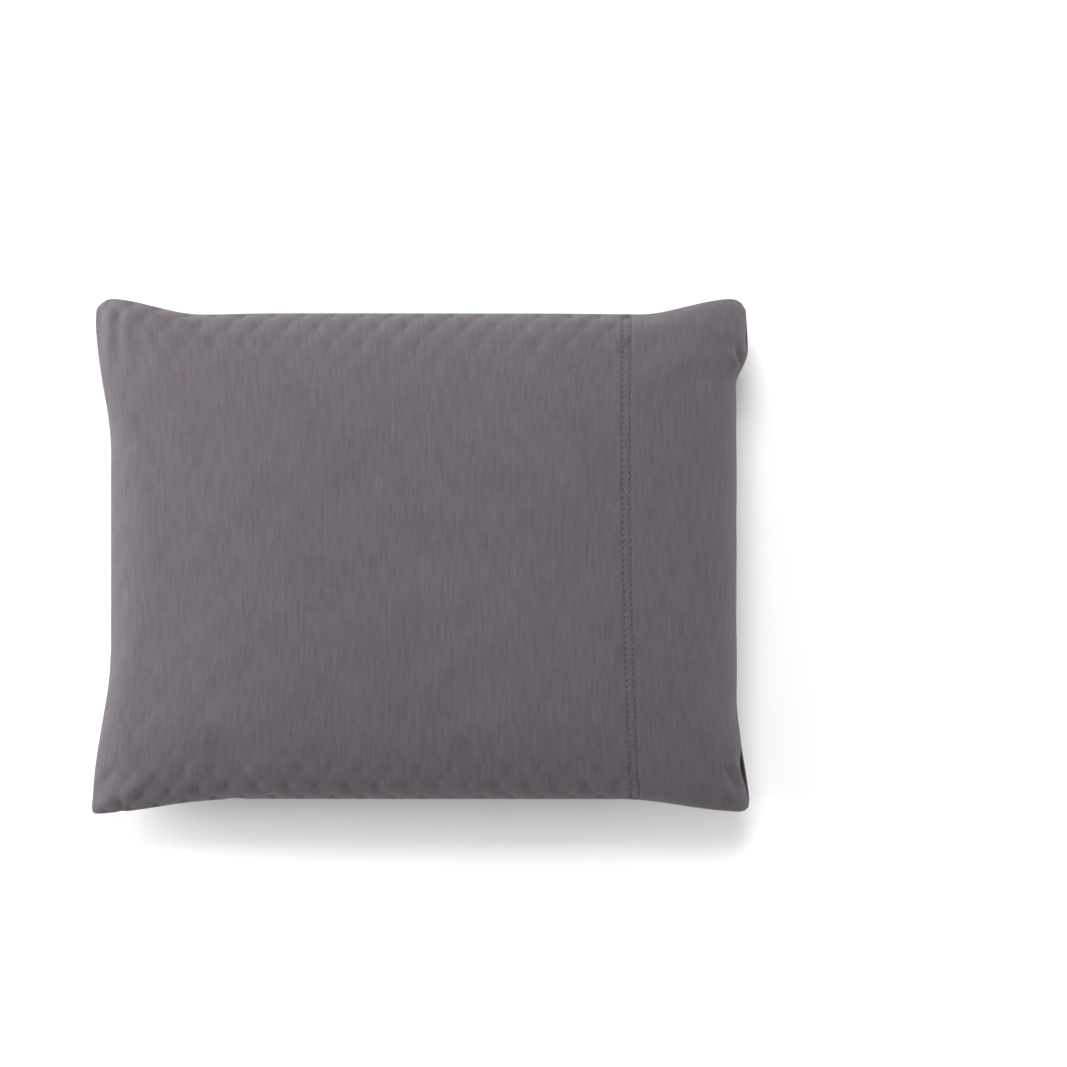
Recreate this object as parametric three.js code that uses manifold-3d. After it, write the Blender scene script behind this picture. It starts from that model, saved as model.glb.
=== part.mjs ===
// A standard bed pillow in its pillowcase, lying flat.
// Millimetres, +Z up, +X towards the pillowcase's open end. The origin is the middle of the underside.
//
// The pillow is built from the outside in: the pillowcase (two panels, two hem bands, hemstitching,
// seams), the removable quilted cover with its piping and coil zip, the muslin liner, and the fill.
// Every layer is drawn on the same cushion-shaped grid, so each one nests inside the one before.

import * as THREE from "three";
import { mergeVertices } from "three/addons/utils/BufferGeometryUtils.js";
import Module from "manifold-3d";

const wasm = await Module();
wasm.setup();

// ---- driving dimensions ----

const CASE_LENGTH = 660; // corner to corner along X
const CASE_WIDTH = 514; // corner to corner along Y
const LOFT = 140; // height of the crown above the floor
const SEAM_HEIGHT = 62; // height of the side seams above the floor
const END_PULL = 15; // how far the short ends pull in between the corners
const SIDE_PULL = 14; // how far the long sides pull in between the corners

const CASE_CLOTH = 1; // one thickness of pillowcase cloth with its seam bulk
const HEM_CLOTH = 1.6; // the hem band is folded double
const QUILT_THICKNESS = 6; // face cloth, wadding and backing, quilted together
const LINER_CLOTH = 0.8;
const SEWN_GAP = 0.4; // between two panels that are sewn edge to edge
const LAYER_GAP = 2; // between the pillowcase and the quilted cover
const INNER_GAP = 1.2; // between the quilted cover, the liner and the fill

const HEM_LINE_X = 204; // the hemstitching crosses the middle of the pillow here
const HEMSTITCH_WIDTH = 7;
const MOUTH_HALF_GAP = 8; // the two hem edges stand this far above and below the seam line
const SEAM_FIN_WIDTH = 4; // a seam's allowance, folded inside the pillowcase
const SEAM_FIN_THICKNESS = 1;

const PIPING_RADIUS = 1.6;
const PIPING_SIDES = 8;
const PIPING_STEPS = 130;
const ZIP_RECESS = 7; // the zip lies this far in from the cover's end
const ZIP_HALF_LENGTH = 172; // of the tapes
const COIL_HALF_LENGTH = 163;
const SLOT_HALF_HEIGHT = 13; // the quilted panels stop short of the zip by this much
const TAPE_THICKNESS = 0.6;
const TAPE_EDGE = 11.4; // the tapes' outer edges, from the zip's middle
const COIL_INNER = 0.75; // half the slit between the two coils, where the slider's divider runs
const COIL_WIDTH = 2;
const COIL_DEPTH = 2.6;
const RUNNING_GAP = 0.3;

const SLIDER_LENGTH = 11;
const SLIDER_HALF_WIDTH = 4.2;
const SLIDER_PLATE = 0.9;
const BRIDGE_HALF_LENGTH = 3.2;
const BRIDGE_CLEARANCE = 1.9; // room under the bridge for the pull tab's crosspiece
const BRIDGE_THICKNESS = 0.8;
const BRIDGE_WIDTH = 1.6;
const PULL_LENGTH = 24;
const PULL_HALF_WIDTH = 3;
const PULL_THICKNESS = 1.3;

// ---- the cushion-shaped grid ----

const CROWN_POWER = 3; // a higher power gives a flatter crown and rounder edges
const END_CURVE = 4; // a higher power keeps an end straight for longer before the corners
const SIDE_CURVE = 6;
const CORNER_TURN = 144; // turns the outline evenly round each corner
const DROOP_POWER = 10; // a higher power keeps the corners' droop closer to the corners

// Numbers from -1 to 1 that crowd towards both ends, where the cushion turns over its edges.
function spread(count) {
  return Array.from({ length: count + 1 }, (_, i) => Math.sin((Math.PI / 2) * ((2 * i) / count - 1)));
}

const between = (positions) => positions.map((t) => (t + 1) / 2);

const caseRows = spread(20);
const bodyColumns = between(spread(18));
const hemColumns = [0, 0.22, 0.44, 0.65, 0.82, 0.93, 1];

function rounding(corner, share) {
  return corner * Math.abs(share) ** (CORNER_TURN / corner);
}

// How far a pulled-in edge's corners reach beyond its middle, once they are rounded off.
function cornerReach(pull, power, corner) {
  return Math.max(...caseRows.map((t) => pull * Math.abs(t) ** power - rounding(corner, t)));
}

// The same layer, smaller by one distance all round.
function inset(outer, distance) {
  return {
    ...outer,
    left: outer.left + distance,
    right: outer.right - distance,
    side: outer.side - distance,
    rise: outer.rise - distance,
    floor: outer.floor + distance,
  };
}

// A layer: where its ends and sides lie at their middles, how far its corners stand out beyond them,
// how far the corners droop, how high it rises above the seam line, and the lowest it may reach.
const CASE_CORNER = 8;
const CASE_END_STRETCH = END_PULL + 6; // the rounded corners give back about 6
const CASE_SIDE_STRETCH = SIDE_PULL + 6;
const caseEnd = CASE_LENGTH / 2 - cornerReach(CASE_END_STRETCH, END_CURVE, CASE_CORNER);
const caseLayer = {
  left: -caseEnd,
  right: caseEnd,
  side: CASE_WIDTH / 2 - cornerReach(CASE_SIDE_STRETCH, SIDE_CURVE, CASE_CORNER),
  endPull: CASE_END_STRETCH,
  sidePull: CASE_SIDE_STRETCH,
  corner: CASE_CORNER,
  droop: 20,
  rise: LOFT - SEAM_HEIGHT,
  floor: 0,
};

const FIN_OUTER = HEM_CLOTH + SEWN_GAP;
const FIN_INNER = FIN_OUTER + SEAM_FIN_WIDTH;
const PIPING_OFFSET = PIPING_RADIUS + SEWN_GAP;
const PIPING_CLEARANCE = 0.8; // between the piping and the case's seams
const COVER_INSET = FIN_INNER + PIPING_CLEARANCE + 2 * PIPING_RADIUS + SEWN_GAP;
const COVER_INSET_MOUTH = 17;
const coverLayer = {
  left: caseLayer.left + COVER_INSET,
  right: caseLayer.right - COVER_INSET_MOUTH,
  side: caseLayer.side - COVER_INSET,
  endPull: 9,
  sidePull: 9,
  corner: 14,
  droop: 8,
  rise: caseLayer.rise - CASE_CLOTH - LAYER_GAP,
  floor: CASE_CLOTH + LAYER_GAP,
};

const zipX = coverLayer.right - ZIP_RECESS;
const LINER_CLEAR_OF_ZIP = 5;
const linerLayer = {
  ...inset(coverLayer, QUILT_THICKNESS + INNER_GAP),
  right: zipX - LINER_CLEAR_OF_ZIP,
};
const fillLayer = inset(linerLayer, LINER_CLOTH + INNER_GAP);

// 1 at the middle of the grid and 0 at its edges, which it meets upright, as on a well filled pillow.
function crown(u, v) {
  return Math.sqrt((1 - Math.abs(u) ** CROWN_POWER) * (1 - Math.abs(v) ** CROWN_POWER));
}

const halfLength = (shape) => (shape.right - shape.left) / 2;
const middleX = (shape) => (shape.right + shape.left) / 2;

// Plan position of grid point (u, v), each from -1 to 1.
function plan(shape, u, v) {
  const cut = rounding(shape.corner, u * v);
  const x = u * (halfLength(shape) + shape.endPull * Math.abs(v) ** END_CURVE) - Math.sign(u) * cut;
  const y = v * (shape.side + shape.sidePull * Math.abs(u) ** SIDE_CURVE) - Math.sign(v) * cut;
  return [middleX(shape) + x, y];
}

// Height of the seam line at grid point (u, v): level, and drooping at the corners.
function seamHeight(shape, u, v) {
  return SEAM_HEIGHT - shape.droop * Math.abs(u * v) ** DROOP_POWER;
}

function topPoint(shape, u, v) {
  const height = seamHeight(shape, u, v) + SEWN_GAP / 2 + shape.rise * crown(u, v);
  return new THREE.Vector3(...plan(shape, u, v), height);
}

function bottomPoint(shape, u, v) {
  const height = seamHeight(shape, u, v) - SEWN_GAP / 2 - shape.rise * crown(u, v);
  return new THREE.Vector3(...plan(shape, u, v), Math.max(shape.floor, height));
}

// The u at which a layer reaches x on row v, away from its corners.
function uAt(shape, x, v) {
  return (x - middleX(shape)) / (halfLength(shape) + shape.endPull * Math.abs(v) ** END_CURVE);
}

// The u near a layer's right end at which it stands this high above the seam line on row v.
function uAtHeight(shape, height, v) {
  const across = 1 - Math.abs(v) ** CROWN_POWER;
  return (1 - (height / shape.rise) ** 2 / across) ** (1 / CROWN_POWER);
}

// ---- solids from grids ----

const START = () => -1;
const END = () => 1;

// Rows along v, and columns from uStart(v) to uEnd(v).
function grid(point, shape, columns, rows, uStart, uEnd) {
  return rows.map((v) => columns.map((t) => point(shape, THREE.MathUtils.lerp(uStart(v), uEnd(v), t), v)));
}

// One closed body between an upper and a lower grid of the same size.
function solidBetween(upper, lower) {
  const lastRow = upper.length - 1;
  const lastColumn = upper[0].length - 1;
  const positions = [];
  const quad = (a, b, c, d) => {
    for (const corner of [a, b, c, a, c, d]) positions.push(...corner.toArray());
  };
  for (let j = 0; j < lastRow; j += 1) {
    const mirrored = j < lastRow / 2; // the facets' diagonals mirror about the middle row
    for (let i = 0; i < lastColumn; i += 1) {
      const above = [upper[j][i], upper[j][i + 1], upper[j + 1][i + 1], upper[j + 1][i]];
      const below = [lower[j][i], lower[j + 1][i], lower[j + 1][i + 1], lower[j][i + 1]];
      if (mirrored) {
        above.push(above.shift());
        below.push(below.shift());
      }
      quad(...above);
      quad(...below);
    }
  }
  for (let i = 0; i < lastColumn; i += 1) {
    quad(lower[0][i], lower[0][i + 1], upper[0][i + 1], upper[0][i]);
    quad(upper[lastRow][i], upper[lastRow][i + 1], lower[lastRow][i + 1], lower[lastRow][i]);
  }
  for (let j = 0; j < lastRow; j += 1) {
    quad(upper[j][0], upper[j + 1][0], lower[j + 1][0], lower[j][0]);
    quad(lower[j][lastColumn], lower[j + 1][lastColumn], upper[j + 1][lastColumn], upper[j][lastColumn]);
  }
  return new THREE.BufferGeometry().setAttribute("position", new THREE.Float32BufferAttribute(positions, 3));
}

// A curved panel of one thickness on the upper face of a layer, from uStart(v) to uEnd(v).
function upperPanel(shape, thickness, columns, rows, uStart = START, uEnd = END) {
  const outside = grid(topPoint, shape, columns, rows, uStart, uEnd);
  const inside = grid(topPoint, inset(shape, thickness), columns, rows, uStart, uEnd);
  return solidBetween(outside, inside);
}

// The same on the lower face.
function lowerPanel(shape, thickness, columns, rows, uStart = START, uEnd = END) {
  const outside = grid(bottomPoint, shape, columns, rows, uStart, uEnd);
  const inside = grid(bottomPoint, inset(shape, thickness), columns, rows, uStart, uEnd);
  return solidBetween(inside, outside);
}

// ---- joining two solids into one body ----

function toManifold(geometry) {
  const bare = geometry.clone().deleteAttribute("normal").deleteAttribute("uv");
  const merged = mergeVertices(bare);
  const vertProperties = merged.attributes.position.array;
  const triVerts = new Uint32Array(merged.index.array);
  return new wasm.Manifold(new wasm.Mesh({ numProp: 3, vertProperties, triVerts }));
}

function join(first, second) {
  const mesh = toManifold(first).add(toManifold(second)).getMesh();
  return new THREE.BufferGeometry()
    .setAttribute("position", new THREE.BufferAttribute(mesh.vertProperties, 3))
    .setIndex(new THREE.BufferAttribute(mesh.triVerts, 1));
}

// ---- materials ----

const matte = (color, roughness = 0.9) => new THREE.MeshStandardMaterial({ color, roughness, metalness: 0 });
const metal = (color) => new THREE.MeshStandardMaterial({ color, roughness: 0.35, metalness: 1 });

const CASE_COLOR = 0x6b646b;
const COTTON_COLOR = 0xeeebe4;
const MUSLIN_COLOR = 0xe6dfcf;
const TAPE_COLOR = 0xe9e6df;
const NYLON_COLOR = 0xe4e1da;
const METAL_COLOR = 0xb9bbbd;
const LABEL_COLOR = 0xf7f6f2;
const FIBRE_COLOR = 0xf4f1ea;
const SATIN_ROUGHNESS = 0.5;

const pillow = new THREE.Group();

function addPart(name, geometry, material, parent = pillow) {
  const mesh = new THREE.Mesh(geometry, material);
  mesh.name = name;
  parent.add(mesh);
}

// ---- the pillowcase ----

// The hemstitched line leans and bows a little, as cloth does where it is stretched over a full pillow.
const HEM_LINE_BOW = 6;
const HEM_LINE_LEAN = -4;
const hemLineX = (v) => HEM_LINE_X + HEM_LINE_BOW * v * v + HEM_LINE_LEAN * v;
const hemLineU = (offset) => (v) => uAt(caseLayer, hemLineX(v) + offset, v);

const stitchStart = hemLineU(-HEMSTITCH_WIDTH / 2);
const stitchEnd = hemLineU(HEMSTITCH_WIDTH / 2);
const bodyEnd = hemLineU(-HEMSTITCH_WIDTH / 2 - SEWN_GAP);
const hemStart = hemLineU(HEMSTITCH_WIDTH / 2 + SEWN_GAP);

// The mouth stands open along its middle and closes towards the corners.
const MOUTH_CLOSING_POWER = 8;
const mouthDepth = 1 - uAtHeight(caseLayer, MOUTH_HALF_GAP, 0);
const mouthU = (v) => 1 - mouthDepth * (1 - v ** MOUTH_CLOSING_POWER);

for (const [side, makePanel] of [["front", upperPanel], ["back", lowerPanel]]) {
  const body = makePanel(caseLayer, CASE_CLOTH, bodyColumns, caseRows, START, bodyEnd);
  const stitching = makePanel(caseLayer, CASE_CLOTH, [0, 1], caseRows, stitchStart, stitchEnd);
  const hem = makePanel(caseLayer, HEM_CLOTH, hemColumns, caseRows, hemStart, mouthU);
  addPart(`case_${side}_panel`, body, matte(CASE_COLOR));
  addPart(`case_${side}_hemstitch`, stitching, matte(CASE_COLOR));
  addPart(`case_${side}_hem_band`, hem, matte(CASE_COLOR));
}

// A seam's folded allowance: a flat strip just inside an edge of the case, between two depths from it.
// gridPoint(t, depth) is the grid point that lies this deep in from the edge.
function seamFin(gridPoint, steps) {
  const strip = (height) =>
    [FIN_INNER, FIN_OUTER].map((depth) =>
      steps.map((t) => {
        const [x, y] = plan(inset(caseLayer, depth), ...gridPoint(t, 0));
        const z = seamHeight(caseLayer, ...gridPoint(t, depth)) + height;
        return new THREE.Vector3(x, y, z);
      })
    );
  return solidBetween(strip(SEAM_FIN_THICKNESS / 2), strip(-SEAM_FIN_THICKNESS / 2));
}

// The seams stop just short of the corners, on the same steps as the panels they join.
const SEAM_END = 0.95;
const inSeam = (t) => Math.abs(t) < SEAM_END;
function sideSteps(v) {
  const body = bodyColumns.map((t) => THREE.MathUtils.lerp(-1, bodyEnd(v), t));
  const hem = hemColumns.map((t) => THREE.MathUtils.lerp(hemStart(v), 1, t));
  return [...body, ...hem].filter(inSeam);
}
const lowerSteps = sideSteps(-1).map((t) => -t).reverse();

const alongUpperSide = (t, depth) => [t, 1 - depth / caseLayer.side];
const alongLowerSide = (t, depth) => [-t, depth / caseLayer.side - 1];
const alongClosedEnd = (t, depth) => [depth / halfLength(caseLayer) - 1, t];
addPart("case_upper_side_seam", seamFin(alongUpperSide, sideSteps(1)), matte(CASE_COLOR));
addPart("case_lower_side_seam", seamFin(alongLowerSide, lowerSteps), matte(CASE_COLOR));
addPart("case_closed_end_seam", seamFin(alongClosedEnd, caseRows.filter(inSeam)), matte(CASE_COLOR));

// The care label: a small folded tag, sewn to the lower side seam just inside the mouth.
const CARE_LABEL = { length: 14, width: 12, thickness: 0.5, x: 309 };
const careLabelU = uAt(caseLayer, CARE_LABEL.x, -1);
const [, seamInnerY] = plan(inset(caseLayer, FIN_INNER), careLabelU, -1);
const careLabelY = seamInnerY + SEWN_GAP + CARE_LABEL.width / 2;
const careLabelZ = seamHeight(caseLayer, careLabelU, careLabelY / caseLayer.side);
const careLabel = new THREE.BoxGeometry(CARE_LABEL.length, CARE_LABEL.width, CARE_LABEL.thickness);
careLabel.translate(CARE_LABEL.x, careLabelY, careLabelZ);
addPart("case_care_label", careLabel, matte(LABEL_COLOR, SATIN_ROUGHNESS));

// ---- the quilted cover ----

// The quilted panels part round the zip and meet again beyond its ends, so the rows turn there too.
const SLOT_END = (ZIP_HALF_LENGTH + 4) / coverLayer.side;
const SLOT_TAPER = 0.06;
const SLOT_CLOSED = SLOT_END + SLOT_TAPER;
const halfRows = [0.15, 0.3, 0.45, 0.6, SLOT_END, SLOT_CLOSED, 0.9, 0.96, 0.99, 1];
const coverRows = [...halfRows.map((v) => -v).reverse(), 0, ...halfRows];
const coverColumns = between(spread(16));

function coverEnd(v) {
  if (Math.abs(v) >= SLOT_CLOSED) return 1;
  return uAtHeight(coverLayer, SLOT_HALF_HEIGHT, v);
}

const quiltTop = upperPanel(coverLayer, QUILT_THICKNESS, coverColumns, coverRows, START, coverEnd);
const quiltBottom = lowerPanel(coverLayer, QUILT_THICKNESS, coverColumns, coverRows, START, coverEnd);
addPart("cover_top_quilted_panel", quiltTop, matte(COTTON_COLOR));
addPart("cover_bottom_quilted_panel", quiltBottom, matte(COTTON_COLOR));

// The piping runs round the cover's edge from one end of the zip to the other.
const pipingLine = [
  ...[SLOT_CLOSED, 0.9, 0.96, 0.99].map((v) => [1, -v]),
  ...spread(24).map((u) => [-u, -1]),
  ...spread(20).slice(1).map((v) => [-1, v]),
  ...spread(24).slice(1).map((u) => [u, 1]),
  ...[0.99, 0.96, 0.9, SLOT_CLOSED].map((v) => [1, v]),
];

function roundSection(radius, sides) {
  const angles = Array.from({ length: sides }, (_, i) => (2 * Math.PI * i) / sides);
  return new THREE.Shape(angles.map((a) => new THREE.Vector2(radius * Math.cos(a), radius * Math.sin(a))));
}

const pipingShape = inset(coverLayer, -PIPING_OFFSET);
const pipingPoints = pipingLine.map(([u, v]) => {
  const z = seamHeight(pipingShape, u, v);
  return new THREE.Vector3(...plan(pipingShape, u, v), z);
});
const pipingPath = new THREE.CatmullRomCurve3(pipingPoints);
const piping = new THREE.ExtrudeGeometry(roundSection(PIPING_RADIUS, PIPING_SIDES), {
  steps: PIPING_STEPS,
  extrudePath: pipingPath,
});
addPart("cover_piping", piping, matte(COTTON_COLOR));

// A blank satin label, sewn flat to the underside of the cover.
const COVER_LABEL = { length: 60, width: 40, thickness: 0.5, x: 150, y: -90 };
const coverLabel = new THREE.BoxGeometry(COVER_LABEL.length, COVER_LABEL.width, COVER_LABEL.thickness);
coverLabel.translate(COVER_LABEL.x, COVER_LABEL.y, CASE_CLOTH + LAYER_GAP / 2);
addPart("cover_label", coverLabel, matte(LABEL_COLOR, SATIN_ROUGHNESS));

// ---- the zip ----

// The zip stands upright in the cover's end and runs along Y. Its own frame keeps +X facing out.
const zip = new THREE.Group();
zip.position.set(zipX, 0, SEAM_HEIGHT);
pillow.add(zip);

function roundedBox(x, y, z, radius) {
  const section = new THREE.Shape();
  section.moveTo(-x / 2 + radius, -z / 2);
  section.lineTo(x / 2 - radius, -z / 2);
  section.quadraticCurveTo(x / 2, -z / 2, x / 2, -z / 2 + radius);
  section.lineTo(x / 2, z / 2 - radius);
  section.quadraticCurveTo(x / 2, z / 2, x / 2 - radius, z / 2);
  section.lineTo(-x / 2 + radius, z / 2);
  section.quadraticCurveTo(-x / 2, z / 2, -x / 2, z / 2 - radius);
  section.lineTo(-x / 2, -z / 2 + radius);
  section.quadraticCurveTo(-x / 2, -z / 2, -x / 2 + radius, -z / 2);
  const bar = new THREE.ExtrudeGeometry(section, { depth: y, bevelEnabled: false, curveSegments: 3 });
  return bar.translate(0, 0, -y / 2).rotateX(Math.PI / 2);
}

const coilOuter = COIL_INNER + COIL_WIDTH;
const tapeInner = coilOuter + RUNNING_GAP;
const tapeWidth = TAPE_EDGE - tapeInner;
const STOP_LENGTH = 3;
const STOP_DEPTH = 3.2;
const COIL_ROUNDING = 0.8;
const STOP_ROUNDING = 0.5;
const stopY = COIL_HALF_LENGTH + RUNNING_GAP + STOP_LENGTH / 2;

for (const [side, sign] of [["upper", 1], ["lower", -1]]) {
  const tape = new THREE.BoxGeometry(TAPE_THICKNESS, 2 * ZIP_HALF_LENGTH, tapeWidth);
  const coil = roundedBox(COIL_DEPTH, 2 * COIL_HALF_LENGTH, COIL_WIDTH, COIL_ROUNDING);
  const stop = roundedBox(STOP_DEPTH, STOP_LENGTH, COIL_WIDTH, STOP_ROUNDING);
  tape.translate(0, 0, (sign * (tapeInner + TAPE_EDGE)) / 2);
  coil.translate(0, 0, (sign * (COIL_INNER + coilOuter)) / 2);
  stop.translate(0, -stopY, (sign * (COIL_INNER + coilOuter)) / 2);
  addPart(`zip_${side}_tape`, tape, matte(TAPE_COLOR), zip);
  addPart(`zip_${side}_coil`, coil, matte(NYLON_COLOR, 0.45), zip);
  addPart(`zip_${side}_top_stop`, stop, metal(METAL_COLOR), zip);
}
const bottomStop = roundedBox(STOP_DEPTH, STOP_LENGTH, 2 * coilOuter, STOP_ROUNDING);
addPart("zip_bottom_stop", bottomStop.translate(0, stopY, 0), metal(METAL_COLOR), zip);

// The slider rests against the top stops, with the zip closed.
const sliderRestY = RUNNING_GAP + SLIDER_LENGTH / 2 - COIL_HALF_LENGTH;
const slider = new THREE.Group();
slider.position.y = sliderRestY;
zip.add(slider);

// Two plates joined by the divider between the coils, with lips that turn in over the tapes.
function sliderBody() {
  const plateInner = COIL_DEPTH / 2 + RUNNING_GAP;
  const plateOuter = plateInner + SLIDER_PLATE;
  const divider = COIL_INNER - RUNNING_GAP;
  const lip = coilOuter + 2 * RUNNING_GAP;
  const lipReach = TAPE_THICKNESS / 2 + 2 * RUNNING_GAP;
  const quarter = [
    [divider, plateInner],
    [lip, plateInner],
    [lip, lipReach],
    [SLIDER_HALF_WIDTH, lipReach],
    [SLIDER_HALF_WIDTH, plateOuter],
  ];
  const frontRight = quarter.map(([z, x]) => new THREE.Vector2(x, z));
  const frontLeft = quarter.map(([z, x]) => new THREE.Vector2(x, -z)).reverse();
  const backLeft = quarter.map(([z, x]) => new THREE.Vector2(-x, -z));
  const backRight = quarter.map(([z, x]) => new THREE.Vector2(-x, z)).reverse();
  const outline = new THREE.Shape([...frontRight, ...frontLeft, ...backLeft, ...backRight].reverse());
  const bar = new THREE.ExtrudeGeometry(outline, { depth: SLIDER_LENGTH, bevelEnabled: false });
  return bar.translate(0, 0, -SLIDER_LENGTH / 2).rotateX(Math.PI / 2);
}

// The bridge that holds the pull tab: an arch along the slider's outer plate.
const plateFace = COIL_DEPTH / 2 + RUNNING_GAP + SLIDER_PLATE;
function sliderBridge() {
  const sink = SLIDER_PLATE / 2; // the arch's feet go into the plate by this much
  const innerHalf = BRIDGE_HALF_LENGTH - BRIDGE_THICKNESS;
  const top = BRIDGE_CLEARANCE + BRIDGE_THICKNESS;
  const arch = new THREE.Shape(
    [
      [-sink, -BRIDGE_HALF_LENGTH],
      [top, -BRIDGE_HALF_LENGTH],
      [top, BRIDGE_HALF_LENGTH],
      [-sink, BRIDGE_HALF_LENGTH],
      [-sink, innerHalf],
      [BRIDGE_CLEARANCE, innerHalf],
      [BRIDGE_CLEARANCE, -innerHalf],
      [-sink, -innerHalf],
    ].map(([x, y]) => new THREE.Vector2(x, y))
  );
  const bar = new THREE.ExtrudeGeometry(arch, { depth: BRIDGE_WIDTH, bevelEnabled: false });
  return bar.translate(plateFace, 0, -BRIDGE_WIDTH / 2);
}
addPart("zip_slider", join(sliderBody(), sliderBridge()), metal(METAL_COLOR), slider);

// The pull tab lies along the zip. The bridge passes through its window, over its crosspiece.
function pullTab() {
  const bar = PULL_THICKNESS / 2;
  const windowHalf = BRIDGE_WIDTH / 2 + 2 * RUNNING_GAP;
  const windowEnd = BRIDGE_HALF_LENGTH + 2 * RUNNING_GAP;
  const tip = PULL_LENGTH - PULL_HALF_WIDTH;
  const outline = new THREE.Shape();
  outline.moveTo(-PULL_HALF_WIDTH, -bar);
  outline.lineTo(PULL_HALF_WIDTH, -bar);
  outline.lineTo(PULL_HALF_WIDTH, tip);
  outline.absarc(0, tip, PULL_HALF_WIDTH, 0, Math.PI, false);
  const opening = new THREE.Path(
    [
      [-windowHalf, bar],
      [-windowHalf, windowEnd],
      [windowHalf, windowEnd],
      [windowHalf, bar],
    ].map(([z, y]) => new THREE.Vector2(z, y))
  );
  outline.holes.push(opening);
  const plate = new THREE.ExtrudeGeometry(outline, { depth: PULL_THICKNESS, bevelEnabled: false });
  return plate.translate(0, 0, -PULL_THICKNESS / 2).rotateY(Math.PI / 2);
}
const pull = new THREE.Group();
pull.position.x = plateFace + BRIDGE_CLEARANCE / 2;
slider.add(pull);
addPart("zip_pull_tab", pullTab(), metal(METAL_COLOR), pull);

// ---- the liner and its fill, on the cover's own rows and columns, so that they nest closely ----

const linerTop = upperPanel(linerLayer, LINER_CLOTH, coverColumns, coverRows);
const linerBottom = lowerPanel(linerLayer, LINER_CLOTH, coverColumns, coverRows);
addPart("liner_top_panel", linerTop, matte(MUSLIN_COLOR));
addPart("liner_bottom_panel", linerBottom, matte(MUSLIN_COLOR));

const fillTop = grid(topPoint, fillLayer, coverColumns, coverRows, START, END);
const fillBottom = grid(bottomPoint, fillLayer, coverColumns, coverRows, START, END);
addPart("fill", solidBetween(fillTop, fillBottom), matte(FIBRE_COLOR, 1));

export default pillow;
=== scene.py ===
# %% [markdown]
# # A bed pillow in its case
#
# A dressed bed pillow is a stack of layers: a loose case of heathered cloth with a wide stitched hem,
# a quilted cotton cover closed with a zip, a muslin liner and a fibre filling. Each layer is made
# here as its own piece, so that a learner can take the pillow apart again.
#
# The first step loads the measured frame. The outer sizes of every layer are read from the frame's boxes.

# %% Load the frame
import math

import bmesh
import bpy
import numpy as np
from mathutils import Matrix, Vector
from mathutils.kdtree import KDTree


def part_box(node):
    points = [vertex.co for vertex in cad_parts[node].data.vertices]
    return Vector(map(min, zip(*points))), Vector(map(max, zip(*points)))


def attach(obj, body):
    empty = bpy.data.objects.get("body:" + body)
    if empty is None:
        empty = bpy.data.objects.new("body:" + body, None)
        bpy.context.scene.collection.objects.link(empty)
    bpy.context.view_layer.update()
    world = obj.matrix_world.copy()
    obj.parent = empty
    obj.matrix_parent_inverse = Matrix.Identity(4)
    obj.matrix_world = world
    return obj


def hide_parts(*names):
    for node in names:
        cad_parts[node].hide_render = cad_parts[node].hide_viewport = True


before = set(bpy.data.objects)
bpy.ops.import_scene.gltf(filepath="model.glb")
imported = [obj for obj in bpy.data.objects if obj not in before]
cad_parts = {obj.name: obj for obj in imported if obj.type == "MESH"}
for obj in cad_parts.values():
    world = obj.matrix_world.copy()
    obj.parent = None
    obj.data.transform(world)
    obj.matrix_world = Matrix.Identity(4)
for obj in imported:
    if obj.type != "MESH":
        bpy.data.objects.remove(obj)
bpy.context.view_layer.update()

CASE_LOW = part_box("case_front_panel")[0]
CASE_SIDE_AND_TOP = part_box("case_front_panel")[1]
CASE_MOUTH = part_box("case_front_hem_band")[1]
MM = 0.001

# %% [markdown]
# ## The camera
#
# A catalogue picture of a pillow is taken from straight above with a long lens, which keeps the
# outline true. The camera hangs over a point to one side of the pillow, so the pillow sits to the
# left of the picture with clear floor round it.

# %% Hang the camera
SEAM_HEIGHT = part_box("case_upper_side_seam")[1].z - 0.5 * MM
PICTURE_WIDTH = 1.067
LENS = 135.0
SENSOR = 36.0
CAMERA_ASIDE = (0.1125, 0.0215)
CAMERA_SEES_TO = 50.0

camera_data = bpy.data.cameras.new("overhead_camera")
camera_data.lens = LENS
camera_data.sensor_width = SENSOR
camera_data.clip_end = CAMERA_SEES_TO
camera = bpy.data.objects.new("overhead_camera", camera_data)
camera.location = (*CAMERA_ASIDE, SEAM_HEIGHT + PICTURE_WIDTH * LENS / SENSOR)
bpy.context.collection.objects.link(camera)
bpy.context.scene.camera = camera
print("camera height in m:", round(camera.location.z, 3))

# %% [markdown]
# ## The studio
#
# The light is soft and comes mostly from the left and a little from the head end. A white floor
# throws some of it back, which lifts the lower rims of the pillow. The floor is bright enough to
# wash out all but the closest part of the shadow.

# %% Hang the lights
bpy.context.scene.view_settings.view_transform = "Standard"

SKY_STRENGTH = 0.455
LIGHTS = {
    "side_window": ((-2.5, 0.6, 1.15), 2.2, 126.0),
    "head_window": ((0.0, 2.0, 2.4), 1.4, 78.0),
    "right_card": ((2.6, -0.1, 0.45), 1.2, 36.0),
    "front_card": ((0.0, -2.6, 0.4), 1.2, 12.0),
}

sky = bpy.data.worlds.new("studio_sky")
sky.use_nodes = True
sky.node_tree.nodes["Background"].inputs["Color"].default_value = (1.0, 1.0, 1.0, 1.0)
sky.node_tree.nodes["Background"].inputs["Strength"].default_value = SKY_STRENGTH
bpy.context.scene.world = sky

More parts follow.
